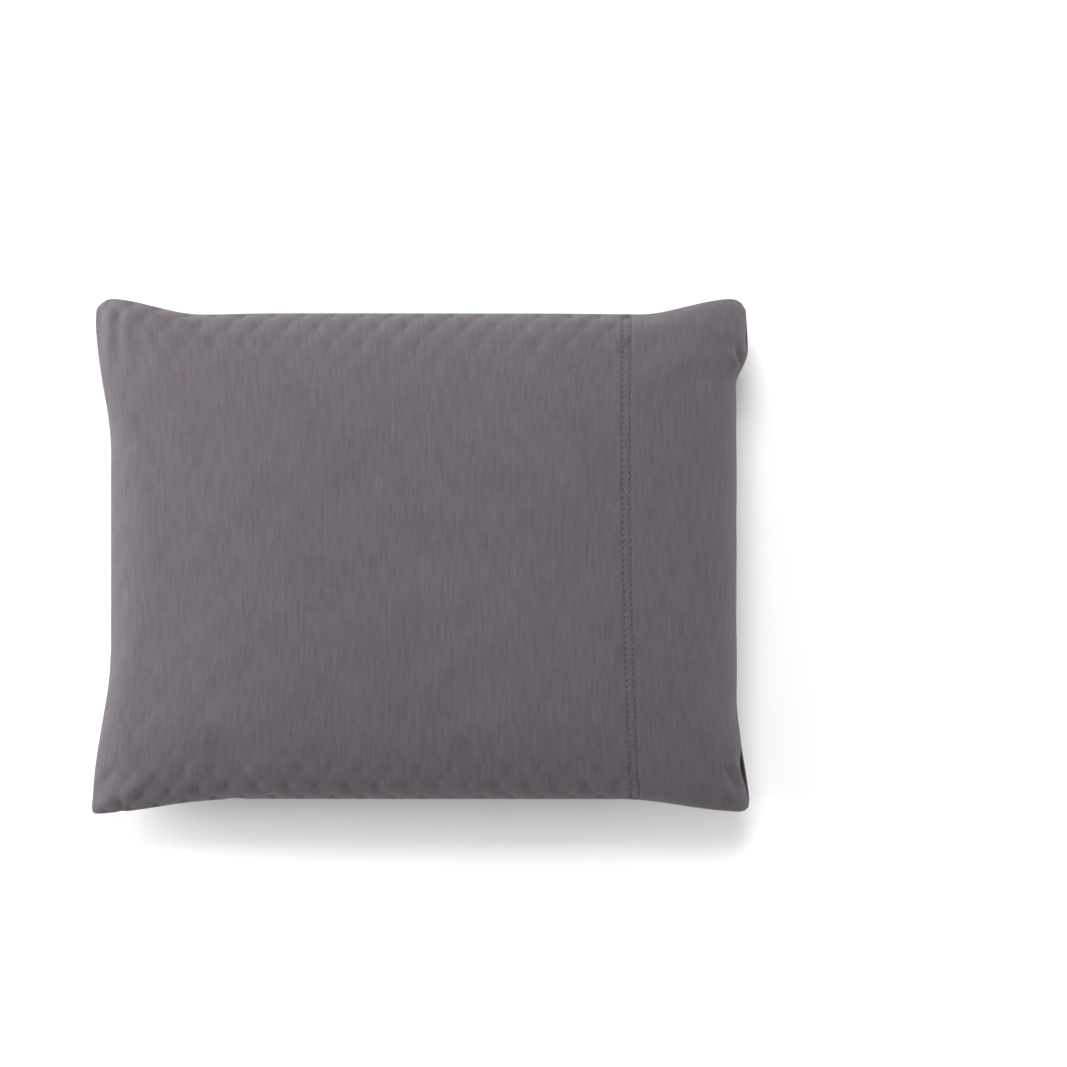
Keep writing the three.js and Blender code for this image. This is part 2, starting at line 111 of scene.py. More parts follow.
for light_name, (light_place, light_size, light_power) in LIGHTS.items():
    light_data = bpy.data.lights.new(light_name, "AREA")
    light_data.size = light_size
    light_data.energy = light_power
    light = bpy.data.objects.new(light_name, light_data)
    light.location = light_place
    light.rotation_euler = (-Vector(light_place)).to_track_quat("-Z", "Y").to_euler()
    bpy.context.collection.objects.link(light)
print("lights:", sorted(LIGHTS))

# %% [markdown]
# ## A small kit for materials
#
# Cloth is never one flat colour. A recipe below is a short chain of nodes: a coordinate along the
# cloth, some noise stretched along the yarns, a blend of two tones, and a bump. This kit keeps each
# recipe to a few lines. The coordinates are metres on the flat cloth, kept in each piece's UV map.


# %% Material kit
MIX_COLOURS = (6, 7)
MIX_RESULT = 2


class Finish:
    """A material under construction, with one method for each kind of node that it needs."""

    def __init__(self, name, coordinate):
        self.material = bpy.data.materials.new(name)
        self.material.use_nodes = True
        self.nodes = self.material.node_tree.nodes
        self.links = self.material.node_tree.links
        self.shader = self.nodes["Principled BSDF"]
        if coordinate == "cloth":
            self.place = self.nodes.new("ShaderNodeUVMap").outputs["UV"]
        else:
            self.place = self.nodes.new("ShaderNodeTexCoord").outputs["Object"]

    def stretched(self, across, along, third=1.0):
        """The coordinate, counted in steps of across, along and third metres."""
        mapping = self.nodes.new("ShaderNodeMapping")
        mapping.inputs["Scale"].default_value = (1.0 / across, 1.0 / along, 1.0 / third)
        self.links.new(self.place, mapping.inputs["Vector"])
        return mapping.outputs["Vector"]

    def noise(self, across, along, third=1.0, detail=2.0):
        """Cloudy noise from 0 to 1, whose clouds have those sizes in metres."""
        node = self.nodes.new("ShaderNodeTexNoise")
        node.inputs["Scale"].default_value = 1.0
        node.inputs["Detail"].default_value = detail
        self.links.new(self.stretched(across, along, third), node.inputs["Vector"])
        return node.outputs["Fac"]

    def number(self, operation, first, second=0.0):
        """One calculation on two values, each a plain number or another node's output."""
        node = self.nodes.new("ShaderNodeMath")
        node.operation = operation
        for socket, value in zip(node.inputs, (first, second)):
            if isinstance(value, (int, float)):
                socket.default_value = value
            else:
                self.links.new(value, socket)
        return node.outputs["Value"]

    def between(self, value, low, high, low_result=0.0, high_result=1.0):
        """Moves the range low to high of a value onto low_result to high_result, and holds it there."""
        node = self.nodes.new("ShaderNodeMapRange")
        node.inputs["From Min"].default_value = low
        node.inputs["From Max"].default_value = high
        node.inputs["To Min"].default_value = low_result
        node.inputs["To Max"].default_value = high_result
        self.links.new(value, node.inputs["Value"])
        return node.outputs["Result"]

    def blend(self, share, first, second):
        """A colour between two others, by a share from 0 to 1."""
        node = self.nodes.new("ShaderNodeMix")
        node.data_type = "RGBA"
        self.links.new(share, node.inputs["Factor"])
        for place, colour in zip(MIX_COLOURS, (first, second)):
            if isinstance(colour, tuple):
                node.inputs[place].default_value = (*colour, 1.0)
            else:
                self.links.new(colour, node.inputs[place])
        return node.outputs[MIX_RESULT]

    def ribs(self, period, axis):
        """Rounded ribs of that period along the first, second or third coordinate, from 0 to 1."""
        parts = self.nodes.new("ShaderNodeSeparateXYZ")
        self.links.new(self.place, parts.inputs["Vector"])
        turns = self.number("MULTIPLY", parts.outputs[axis], math.tau / period)
        wave = self.number("SINE", turns)
        return self.between(wave, -1.0, 1.0)

    def weave(self, period):
        """A plain weave: yarns over and under each other, as a height from 0 to 1."""
        over = self.ribs(period, 0)
        under = self.ribs(period, 1)
        return self.number("ABSOLUTE", self.number("SUBTRACT", over, under))

    def finish(self, colour, roughness, height, bump_strength, bump_depth):
        """Plugs the recipe into the shader, and gives the finished material back."""
        self.links.new(colour, self.shader.inputs["Base Color"])
        self.links.new(roughness, self.shader.inputs["Roughness"])
        bump = self.nodes.new("ShaderNodeBump")
        bump.inputs["Strength"].default_value = bump_strength
        bump.inputs["Distance"].default_value = bump_depth
        self.links.new(height, bump.inputs["Height"])
        self.links.new(bump.outputs["Normal"], self.shader.inputs["Normal"])
        return self.material


print("material kit ready")

# %% [markdown]
# ## Heathered case cloth
#
# Heathered cloth is woven from yarns that were spun from light and dark fibres together. It shows
# as short streaks along the warp, a few flecks along the weft, and slow drifts of tone. Noise that
# is stretched about nine times longer along the yarn than across it gives the streaks. The weave
# itself is fine, so it works through the bump alone, not through colour.


# %% Heathered case cloth
def heathered_cloth(name, dark, light, fleck, warm):
    """Cloth of mixed yarns: dark and light streaks, with warmer patches and pale flecks."""
    cloth = Finish(name, "cloth")
    broad_streak = cloth.noise(3.0 * MM, 28 * MM, detail=3.0)
    fine_streak = cloth.noise(1.3 * MM, 11 * MM, detail=2.0)
    weft_fleck = cloth.noise(7.5 * MM, 1.1 * MM, detail=1.0)
    drift = cloth.noise(60 * MM, 60 * MM, detail=2.0)
    tint = cloth.noise(7 * MM, 26 * MM, detail=2.0)
    streaks = cloth.number("ADD", broad_streak, cloth.number("MULTIPLY", fine_streak, 0.6))
    streaks = cloth.number("ADD", streaks, cloth.number("MULTIPLY", drift, 0.35))
    colour = cloth.blend(cloth.between(streaks, 0.62, 1.36), dark, light)
    colour = cloth.blend(cloth.between(tint, 0.52, 0.72, 0.0, 0.5), colour, warm)
    colour = cloth.blend(cloth.between(weft_fleck, 0.66, 0.78, 0.0, 0.4), colour, fleck)
    yarns = cloth.weave(0.62 * MM)
    height = cloth.number("ADD", yarns, cloth.number("MULTIPLY", streaks, 0.9))
    roughness = cloth.between(streaks, 0.6, 1.5, 0.84, 0.95)
    cloth.shader.inputs["Sheen Weight"].default_value = 0.12
    cloth.shader.inputs["Sheen Roughness"].default_value = 0.6
    cloth.shader.inputs["Specular IOR Level"].default_value = 0.25
    return cloth.finish(colour, roughness, height, 0.35, 0.35 * MM)


case_cloth = heathered_cloth(
    "case_cloth_mauve_heather",
    dark=(0.060, 0.050, 0.060),
    light=(0.098, 0.084, 0.098),
    fleck=(0.130, 0.116, 0.130),
    warm=(0.092, 0.068, 0.080),
)
print("case cloth nodes:", len(case_cloth.node_tree.nodes))

# %% [markdown]
# ## The floor
#
# A roll of white paper under the pillow: plain, matt, with only the faintest grain.

# %% White paper floor
paper = Finish("floor_white_paper", "object")
paper_grain = paper.noise(30 * MM, 30 * MM, 30 * MM)
white_paper = paper.finish(
    paper.blend(paper_grain, (0.90, 0.90, 0.90), (0.92, 0.92, 0.92)),
    paper.between(paper_grain, 0.0, 1.0, 0.9, 0.96),
    paper_grain,
    0.05,
    0.1 * MM,
)
FLOOR_HALF_WIDTH = 6.0
floor_bmesh = bmesh.new()
bmesh.ops.create_grid(floor_bmesh, x_segments=4, y_segments=4, size=FLOOR_HALF_WIDTH)
floor_mesh = bpy.data.meshes.new("floor")
floor_bmesh.to_mesh(floor_mesh)
floor_bmesh.free()
floor_mesh.materials.append(white_paper)
floor = bpy.data.objects.new("floor", floor_mesh)
bpy.context.collection.objects.link(floor)
print("floor laid")

# %% [markdown]
# ## The shape of a stuffed rectangle
#
# Two rectangles of cloth, sewn round the edge and stuffed, take a known form. The middle rises, the
# sides pull in, and the corners stay flat and stick out like ears. A `Shell` describes one such
# layer. Its two shares, `u` along the pillow and `v` across it, run from -1 to 1 between the seams.
#
# Each corner has its own numbers, in the order left-lower, left-upper, right-lower, right-upper,
# because no two ears of a real pillow sit alike.


# %% Shell of one layer
def ease(start, end, value):
    """0 below start and 1 above end, with a soft turn at both."""
    share = np.clip((np.abs(value) - start) / (end - start), 0.0, 1.0)
    return share * share * (3.0 - 2.0 * share)


def by_corner(four, u, v):
    """The value of the corner that each point is nearest to."""
    left = np.where(v < 0, four[0], four[1])
    right = np.where(v < 0, four[2], four[3])
    return np.where(u < 0, left, right)


ARC_STEPS = 2000
CROWN_POWER = 3.0
SIDE_EAR_END = 0.99
CORNER_CUT = 0.29
CORNER_REACH = 0.93
DROOP_POWER = 10.0
SLOPE_STEP = 0.004
TINY = 1e-12


class Shell:
    """One stuffed layer: its half sizes, its ears, and how high it rises over the seam."""

    def __init__(self, left, right, side, rise, floor, droop, ears, lower_side=None):
        self.left = left
        self.right = right
        self.side = side
        self.lower_side = lower_side or side
        self.rise = rise
        self.floor = floor
        self.droop = droop
        self.ears = ears
        self.shares = np.sin(np.linspace(0.0, math.pi / 2.0, ARC_STEPS))
        self.end_arc = self.arc(0.5 * (left + right))
        self.side_arc = self.arc(side)
        self.cut_length = self.end_arc[-1]
        self.cut_width = self.side_arc[-1]

    def arc(self, half):
        """How much flat cloth lies between the middle and each share of the way out."""
        height = self.rise * np.sqrt(1.0 - self.shares**CROWN_POWER)
        steps = np.hypot(np.diff(half * self.shares), np.diff(height))
        return np.concatenate(([0.0], np.cumsum(steps)))

    def along(self, cloth):
        """Share u at a distance along the flat cloth."""
        return np.sign(cloth) * np.interp(np.abs(cloth), self.end_arc, self.shares)

    def across(self, cloth):
        """Share v at a distance across the flat cloth."""
        return np.sign(cloth) * np.interp(np.abs(cloth), self.side_arc, self.shares)

    def cloth_along(self, u):
        """Distance along the flat cloth at share u."""
        return np.sign(u) * np.interp(np.abs(u), self.shares, self.end_arc)

    def cloth_across(self, v):
        """Distance across the flat cloth at share v."""
        return np.sign(v) * np.interp(np.abs(v), self.shares, self.side_arc)

    def half_length(self, u, v):
        """How far the end seam lies from the middle: further out in the ears."""
        ear = ease(by_corner(self.ears["start"], u, v), by_corner(self.ears["end"], u, v), v)
        reach = by_corner(self.ears["lengthwise"], u, v)
        return np.where(u < 0, self.left, self.right) + ear * reach

    def plan(self, u, v):
        """Where a place lies, seen from above, with its corner rounded off."""
        radius = by_corner(self.ears["radius"], u, v)
        cut = CORNER_CUT * radius * np.abs(u * v) ** (CORNER_REACH / radius)
        side_ear = ease(by_corner(self.ears["side_start"], u, v), SIDE_EAR_END, u)
        side_ear = side_ear * by_corner(self.ears["crosswise"], u, v)
        x = u * self.half_length(u, v) - np.sign(u) * cut
        y = v * (np.where(v < 0, self.lower_side, self.side) + side_ear) - np.sign(v) * cut
        return x, y

    def point(self, u, v, facing):
        """A place on the upper face (facing 1) or the lower face (facing -1)."""
        x, y = self.plan(u, v)
        room = (1.0 - np.abs(u) ** CROWN_POWER) * (1.0 - np.abs(v) ** CROWN_POWER)
        seam = SEAM_HEIGHT - self.droop * np.abs(u * v) ** DROOP_POWER
        z = seam + facing * self.rise * np.sqrt(np.clip(room, 0.0, 1.0))
        return np.stack([x, y, np.maximum(z, self.floor)], axis=-1)

    def outward(self, u, v, facing):
        """The direction out of the cloth, from two small steps back towards the middle."""
        side_u = np.where(u < 0, -1.0, 1.0)
        side_v = np.where(v < 0, -1.0, 1.0)
        here = self.point(u, v, facing)
        back_u = self.point(u - SLOPE_STEP * side_u, v, facing) - here
        back_v = self.point(u, v - SLOPE_STEP * side_v, facing) - here
        normal = facing * np.cross(back_u * -side_u[..., None], back_v * -side_v[..., None])
        return normal / np.maximum(np.linalg.norm(normal, axis=-1, keepdims=True), TINY)


print("shell ready, arc steps:", ARC_STEPS)

# %% [markdown]
# ## The case's shell
#
# The case is the largest shell. Its half sizes are the frame's boxes less the reach of the ears. The
# ears differ from corner to corner: the two upper ones are rounder, the two lower ones are sharper,
# and the ears at the mouth start later than those at the closed end.

# %% The case's shell
case_shell = Shell(
    left=-CASE_LOW.x - 20.5 * MM,
    right=CASE_MOUTH.x - 16.7 * MM,
    side=CASE_SIDE_AND_TOP.y - 15.5 * MM,
    lower_side=CASE_SIDE_AND_TOP.y - 13 * MM,
    rise=CASE_SIDE_AND_TOP.z - SEAM_HEIGHT - 0.5 * MM,
    floor=0.0,
    droop=20 * MM,
    ears={
        "lengthwise": (20 * MM, 17 * MM, 17 * MM, 12.5 * MM),
        "crosswise": (14 * MM, 16.5 * MM, 14 * MM, 17 * MM),
        "start": (0.33, 0.36, 0.52, 0.65),
        "end": (1.02, 0.97, 1.06, 0.80),
        "side_start": (0.55, 0.66, 0.60, 0.66),
        "radius": (9 * MM, 25 * MM, 12 * MM, 22 * MM),
    },
)
case_cut = (case_shell.cut_length, case_shell.cut_width)
print("case cloth from middle to seam, mm:", [round(float(half / MM)) for half in case_cut])

# %% [markdown]
# ## Grids on the flat cloth
#
# Every cloth piece starts as a flat grid between two lines of the case: the closed end, the hem line
# or the mouth. The grid's own places run from -1 to 1, and they are spread evenly over the flat
# cloth before they go onto the shell, so that the cells stay as even as a weave.
#
# At the mouth the two lips stay a little apart, and the upper lip gapes back near both corners.


# %% Lines and grids
MOUTH_HALF_GAP = 8 * MM
MOUTH_DEPTH = 1.0 - (1.0 - (MOUTH_HALF_GAP / case_shell.rise) ** 2) ** (1.0 / CROWN_POWER)
MOUTH_POWER = 8
LIP_GAPES = (
    (-0.83, 0.075, 5.5 * MM),
    (0.80, 0.060, 0.8 * MM),
)


def mouth_line(v, facing):
    """Share u at the case's open end. Each gape has a middle and a width, as shares v, and a depth."""
    line = 1.0 - MOUTH_DEPTH * (1.0 - np.abs(v) ** MOUTH_POWER)
    if facing > 0:
        for middle, width, depth in LIP_GAPES:
            line = line - depth * np.exp(-(((v - middle) / width) ** 2)) / case_shell.right
    return line


def closed_end(v, facing):
    """Share u at the closed end, which is the same at every share v and on both faces."""
    return -1.0 + 0.0 * v


def new_grid(name, columns, rows):
    """A flat grid mesh from -1 to 1, with its corners' places as arrays a and b."""
    grid = bmesh.new()
    bmesh.ops.create_grid(grid, x_segments=columns, y_segments=rows, size=1.0)
    mesh = bpy.data.meshes.new(name)
    grid.to_mesh(mesh)
    grid.free()
    places = np.empty(len(mesh.vertices) * 3)
    mesh.vertices.foreach_get("co", places)
    places = places.reshape(-1, 3)
    return mesh, places[:, 0], places[:, 1]


def set_points(mesh, points):
    """Moves a mesh's corners to new places, given as one array."""
    mesh.vertices.foreach_set("co", np.ascontiguousarray(points, dtype=np.float32).ravel())
    mesh.update()


def lay_between(shell, a, b, start_line, end_line, facing):
    """Shares u and v of grid places that run from one line to another on the flat cloth."""
    v = shell.across(b * shell.cut_width)
    first = shell.cloth_along(start_line(v, facing))
    last = shell.cloth_along(end_line(v, facing))
    return shell.along(first + 0.5 * (a + 1.0) * (last - first)), v


print("mouth's depth in mm:", round(float(MOUTH_DEPTH * case_shell.right / MM), 1))

# %% [markdown]
# ## Blowing the case up
#
# A computed form is too perfect. Real cloth under pressure from inside settles: it tightens over the
# crown and goes slack beside the ears. Blender's cloth solver finds that on a coarse copy of the
# whole case, with the two faces welded along the seams. The part that rests on the floor is held
# fast, and the seams are held a little. Only the small moves are kept, as a field over the flat
# cloth, and every case piece reads its own moves from that field.


# %% Settle the case with the cloth solver
SETTLE_CELL = 8 * MM
SETTLE_FRAMES = 20
RESTS_BELOW = 2 * MM
SEAM_ZONE = 4 * MM
SEAM_HOLD = 0.25
WELD = 0.3 * MM
CLOTH_SETTINGS = {
    "quality": 5,
    "mass": 0.3,
    "tension_stiffness": 300.0,
    "compression_stiffness": 300.0,
    "shear_stiffness": 90.0,
    "bending_stiffness": 1.0,
    "shrink_min": -0.006,
    "use_pressure": True,
    "uniform_pressure_force": 0.2,
    "vertex_group_mass": "held",
}
settle_columns = int(2 * case_shell.cut_length / SETTLE_CELL)
settle_rows = int(2 * case_shell.cut_width / SETTLE_CELL)


def settled_moves():
    """How far each coarse grid place moves, for the upper and the lower face."""
    rest = {}
    whole = bmesh.new()
    for facing in (1, -1):
        mesh, a, b = new_grid("settle_half", settle_columns, settle_rows)
        u, v = lay_between(case_shell, a, b, closed_end, mouth_line, facing)
        rest[facing] = case_shell.point(u, v, facing)
        set_points(mesh, rest[facing])
        if facing < 0:
            mesh.flip_normals()
        whole.from_mesh(mesh)
        bpy.data.meshes.remove(mesh)
    bmesh.ops.remove_doubles(whole, verts=whole.verts, dist=WELD)
    mesh = bpy.data.meshes.new("settle_case")
    whole.to_mesh(mesh)
    whole.free()
    balloon = bpy.data.objects.new("settle_case", mesh)
    bpy.context.collection.objects.link(balloon)
    held = balloon.vertex_groups.new(name="held")
    for vertex in mesh.vertices:
        if vertex.co.z < RESTS_BELOW:
            held.add([vertex.index], 1.0, "REPLACE")
        elif abs(vertex.co.z - SEAM_HEIGHT) < SEAM_ZONE:
            held.add([vertex.index], SEAM_HOLD, "REPLACE")
    cloth = balloon.modifiers.new("settle", "CLOTH")
    for setting, value in CLOTH_SETTINGS.items():
        setattr(cloth.settings, setting, value)
    cloth.settings.effector_weights.gravity = 0.0
    scene = bpy.context.scene
    for step in range(1, SETTLE_FRAMES + 1):
        scene.frame_set(step)
    before = np.array([vertex.co[:] for vertex in mesh.vertices])
    seen = balloon.evaluated_get(bpy.context.evaluated_depsgraph_get())
    after = np.array([vertex.co[:] for vertex in seen.data.vertices])
    scene.frame_set(1)
    finder = KDTree(len(before))
    for index, place in enumerate(before):
        finder.insert(place, index)
    finder.balance()
    moves = {}
    for facing in (1, -1):
        nearest = [finder.find(place)[1] for place in rest[facing]]
        moves[facing] = (after - before)[nearest]
    bpy.data.objects.remove(balloon)
    bpy.data.meshes.remove(mesh)
    return moves


case_moves = settled_moves()
for facing in (1, -1):
    sizes = np.linalg.norm(case_moves[facing], axis=1) / MM
    print("facing", facing, "moves in mm, mean and most:", sizes.mean().round(2), sizes.max().round(2))
    case_moves[facing] = case_moves[facing].reshape(settle_rows + 1, settle_columns + 1, 3)


# %% [markdown]
# ## Reading the moves smoothly
#
# The coarse cells are wider than the cells of the finished pieces. A cubic B-spline between the
# coarse places keeps the slope and the curvature unbroken, so no cell edge shows in the light. The
# moves are limited softly, so that the case stays within its size and off the layers inside it.


# %% Moves at any place on the cloth
OUTWARD_LIMIT = 4 * MM
INWARD_LIMIT = 0.8 * MM
SIDEWAYS_LIMIT = 1.5 * MM


def spline_weights(share):
    """The pull of four neighbours on a place between the middle two."""
    return (
        (1.0 - share) ** 3 / 6.0,
        (3.0 * share**3 - 6.0 * share**2 + 4.0) / 6.0,
        (-3.0 * share**3 + 3.0 * share**2 + 3.0 * share + 1.0) / 6.0,
        share**3 / 6.0,
    )


def moves_at(u, v, facing):
    """How far the settled cloth lies from the shell at shares u and v."""
    if case_moves is None:
        return np.zeros((len(u), 3))
    field = case_moves[facing]
    start = case_shell.cloth_along(closed_end(v, facing))
    end = case_shell.cloth_along(mouth_line(v, facing))
    column = (case_shell.cloth_along(u) - start) / (end - start) * settle_columns
    row = (case_shell.cloth_across(v) / case_shell.cut_width + 1.0) * 0.5 * settle_rows
    column = np.clip(column, 0.0, settle_columns)
    row = np.clip(row, 0.0, settle_rows)
    first_column = np.floor(column).astype(int)
    first_row = np.floor(row).astype(int)
    column_weights = spline_weights(column - first_column)
    row_weights = spline_weights(row - first_row)
    moved = np.zeros((len(u), 3))
    for row_step in range(4):
        for column_step in range(4):
            near_row = np.clip(first_row + row_step - 1, 0, settle_rows)
            near_column = np.clip(first_column + column_step - 1, 0, settle_columns)
            weight = row_weights[row_step] * column_weights[column_step]
            moved += weight[:, None] * field[near_row, near_column]
    normal = case_shell.outward(u, v, facing)
    out = np.sum(moved * normal, axis=1)
    kept_out = np.where(
        out > 0,
        OUTWARD_LIMIT * np.tanh(out / OUTWARD_LIMIT),
        INWARD_LIMIT * np.tanh(out / INWARD_LIMIT),
    )
    sideways = moved - out[:, None] * normal
    length = np.maximum(np.linalg.norm(sideways, axis=1), TINY)
    sideways *= np.minimum(1.0, SIDEWAYS_LIMIT / length)[:, None]
    return sideways + kept_out[:, None] * normal


print("moves ready:", "skipped" if case_moves is None else "settled")

# %% [markdown]
# ## What shows through the case
#
# Close to the edges the case is drawn tight over the quilted cover, and the quilt shows as a staggered
# lattice. The cover is sewn along two families of slanting lines. The cloth bridges the lines, but
# it dips into a round dimple wherever two of them cross, so both the puffs and the crossings are
# needed. They come from plain waves over the flat cloth.


# %% Lattice of the quilt
QUILT_PITCH = 28 * MM
QUILT_ROWS = 42.6 * MM
QUILT_START = 13 * MM
PUFF_POWER = 0.55


def quilt_turns(s, t):
    """How far a place lies across the two families of sewn lines, as angles."""
    along = math.pi * (s + QUILT_START) / QUILT_PITCH
    across = math.pi * t / QUILT_ROWS
    return along + across, along - across


def quilt_puff(s, t):
    """Height of the quilt's puffs, 0 along the sewn lines and 1 on top of a puff."""
    first, second = quilt_turns(s, t)
    return np.abs(np.cos(first) * np.cos(second)) ** PUFF_POWER


def quilt_crossing(s, t):
    """1 where two sewn lines cross, and 0 away from the crossings."""
    first, second = quilt_turns(s, t)
    return (np.sin(first) * np.sin(second)) ** 4


print("quilt pitch and row pair in mm:", QUILT_PITCH / MM, round(QUILT_ROWS / MM, 1))

# %% [markdown]
# ## Folds in the corners
#
# The ears hold more cloth than they need, so the corners carry a few folds. Each fold is a soft ridge
# or a groove along a short line: its two ends, its width and its height, all in millimetres. It
# keeps its height over the first third of the line, and has almost died away at the far end.
#
# A slow swell is added to the folds. It is a sum of random waves, with a fixed seed, so that every
# run gives the same cloth.


# %% Folds and slow swell
FRONT_FOLDS = (
    ((-321, 240), (-319, 190), 4.5, -1.6),
    ((-310, 240), (-308, 176), 5.0, 1.9),
    ((-301, 238), (-299, 192), 4.0, -1.2),
    ((-291, 236), (-289, 176), 6.0, 1.3),
    ((311, 190), (296, 214), 3.6, 2.8),
    ((318, 187), (311, 214), 2.4, -4.6),
    ((305, 204), (287, 219), 4.0, -1.8),
    ((284, 214), (268, 240), 5.0, 0.8),
    ((311, -206), (328, -236), 3.6, 3.2),
    ((303, -214), (318, -242), 4.0, -2.2),
    ((300, -246), (308, -240), 7.0, -2.2),
    ((-326, -254), (-250, -212), 8.5, 3.4),
    ((-300, -258), (-296, -226), 3.0, -2.0),
    ((-318, -226), (-296, -206), 5.0, -1.4),
)
BACK_FOLDS = (
    ((-321, -252), (-315, -200), 5.0, 1.5),
    ((-312, -250), (-305, -205), 4.5, -1.3),
    ((-322, 246), (-280, 212), 7.0, 1.6),
    ((-300, 252), (-297, 210), 4.0, -1.1),
    ((296, 244), (318, 206), 5.5, 1.5),
    ((310, 240), (324, 214), 3.5, -1.5),
    ((290, -246), (322, -214), 6.0, 1.4),
)
FOLD_FADES_FROM = 0.35
FOLD_LOSS = 0.85


def fold_height(x, y, folds):
    """The height of all the folds together at a place seen from above."""
    total = np.zeros_like(x)
    for (start_x, start_y), (end_x, end_y), width, height in folds:
        start = np.array((start_x, start_y)) * MM
        along = np.array((end_x, end_y)) * MM - start
        share = ((x - start[0]) * along[0] + (y - start[1]) * along[1]) / (along @ along)
        held = np.clip(share, 0.0, 1.0)
        distance = np.hypot(x - start[0] - held * along[0], y - start[1] - held * along[1])
        fade = 1.0 - FOLD_LOSS * ease(FOLD_FADES_FROM, 1.0, held)
        total += height * MM * fade * np.exp(-((distance / (width * MM)) ** 2))
    return total


SWELL_COUNT = 14
SWELL_LENGTHS = (34, 95)
SWELL_LEVEL = 6.0
swell_random = np.random.default_rng(11)


def random_swell():
    """One slow wave: its direction and length along the cloth, and where it starts."""
    direction = swell_random.uniform(-1, 1, 2)
    return direction / swell_random.uniform(*SWELL_LENGTHS) * math.tau, swell_random.uniform(0, math.tau)


SWELLS = [random_swell() for _ in range(SWELL_COUNT)]


def gentle_swell(s, t):
    """A slow, uneven rise and fall of the cloth, mostly between -1 and 1."""
    total = np.zeros_like(s)
    for (wave_s, wave_t), phase in SWELLS:
        total += np.sin(s / MM * wave_s + t / MM * wave_t + phase)
    return total / SWELL_LEVEL


print("folds, front and back:", len(FRONT_FOLDS), len(BACK_FOLDS), "swells:", len(SWELLS))

# %% [markdown]
# ## The relief of the case
#
# The lattice, the swell, the folds and the small tucks beside the seams are added up to one height
# over the shell. Each has its own reach: the lattice is strongest on the flanks, where the case is
# tight, and weak over the crown and under the doubled hem. Nothing pushes the seams themselves.


# %% Relief of the case
CLOSED_END_REACH = (0.0, 120 * MM)
SIDE_REACH = (18 * MM, 105 * MM)
CORNER_REACH_ALONG = (20 * MM, 75 * MM)
HEM_STARTS = (195 * MM, 225 * MM)
SWELL_FADE = (4 * MM, 34 * MM)
LATTICE_FADE = (3 * MM, 16 * MM)
FOLD_FADE = (0.0, 9 * MM)
MOUTH_FADE = (0.0, 13 * MM)
TUCK_FADE = (0.0, 5.5 * MM)
TUCK_PITCH = 8.3 * MM
TUCK_DRIFT = 31 * MM
CROWN_LATTICE = 0.12
FLANK_LATTICE = 1.7
CLOSED_END_TIGHTNESS = 0.5
CORNER_TIGHTNESS = 0.35
PUFF_SHARE = 0.55
DIMPLE_SHARE = 1.05
HEM_SOFTENS = 0.72
SWELL_HEIGHT = 0.35 * MM
FOLD_AT_SEAM = 0.15
TUCK_DEPTHS = (0.35 * MM, 0.3 * MM)


def tightness(from_left, from_side):
    """How tight the case lies over the quilt: 1 on the long flanks, 0 over the crown."""
    near_left = CLOSED_END_TIGHTNESS * (1.0 - ease(*CLOSED_END_REACH, from_left))
    near_side = 1.0 - ease(*SIDE_REACH, from_side)
    past_corner = ease(*CORNER_REACH_ALONG, from_left)
    corner = CORNER_TIGHTNESS + (1.0 - CORNER_TIGHTNESS) * past_corner
    return np.maximum(near_left, near_side) * corner


def seam_tucks(s, t, from_left, from_side):
    """How deep the cloth sinks beside a seam, in small uneven tucks."""
    place = np.where(from_side < from_left, s, t)
    tucks = 0.5 + 0.5 * np.sin(place * math.tau / TUCK_PITCH + 2.2 * np.sin(place / TUCK_DRIFT))
    plain, extra = TUCK_DEPTHS
    return (plain + extra * tucks) * (1.0 - ease(*TUCK_FADE, np.minimum(from_side, from_left)))


def case_relief(u, v, x, y, facing):
    """The height of the case cloth over its shell."""
    s = case_shell.cloth_along(u)
    t = case_shell.cloth_across(v)
    from_left = case_shell.cut_length + s
    from_side = case_shell.cut_width - np.abs(t)
    from_mouth = case_shell.cloth_along(mouth_line(v, facing)) - s

    dimples = PUFF_SHARE * (quilt_puff(s, t) - 0.5) - DIMPLE_SHARE * quilt_crossing(s, t)
    strength = CROWN_LATTICE + FLANK_LATTICE * tightness(from_left, from_side)
    under_hem = 1.0 - HEM_SOFTENS * ease(*HEM_STARTS, np.maximum(x, 0.0))
    off_seams = ease(*LATTICE_FADE, from_side) * ease(*LATTICE_FADE, from_left)
    height = strength * under_hem * dimples * off_seams * MM

    swell_reach = ease(*SWELL_FADE, from_side) * ease(*SWELL_FADE, from_left)
    height += SWELL_HEIGHT * gentle_swell(s, t) * swell_reach

    fold_reach = ease(*FOLD_FADE, from_side) * ease(*FOLD_FADE, from_left) * ease(*MOUTH_FADE, from_mouth)
    folds = FRONT_FOLDS if facing > 0 else BACK_FOLDS
    height += fold_height(x, y, folds) * (FOLD_AT_SEAM + (1.0 - FOLD_AT_SEAM) * fold_reach)
    return height - seam_tucks(s, t, from_left, from_side)


print("lattice on the flanks in mm:", FLANK_LATTICE)

# %% [markdown]
# ## Case panels and hem bands
#
# The case is cut as two long panels, with a doubled hem band at the open end. Each piece starts as
# a flat grid, laid over the stuffed shell between two lines: the closed end, the hem line or the
# mouth. The settled moves and the relief come next. A Solidify modifier then gives the cloth its
# thickness, inwards, so that the outer face keeps its shape.


# %% Cut, lay and thicken a cloth piece
HEM_HALF_WIDTH = 4.7 * MM
SEWN_GAP = 0.03 * MM
SEAM_HALF_GAP = 0.15 * MM
SEWN_MARGIN = 14 * MM
CASE_CLOTH = 1.0 * MM
HEM_CLOTH = 1.6 * MM
HEM_PLACE = 203.0 * MM
HEM_SLANT = -4.0 * MM
HEM_BOW = 5.5 * MM


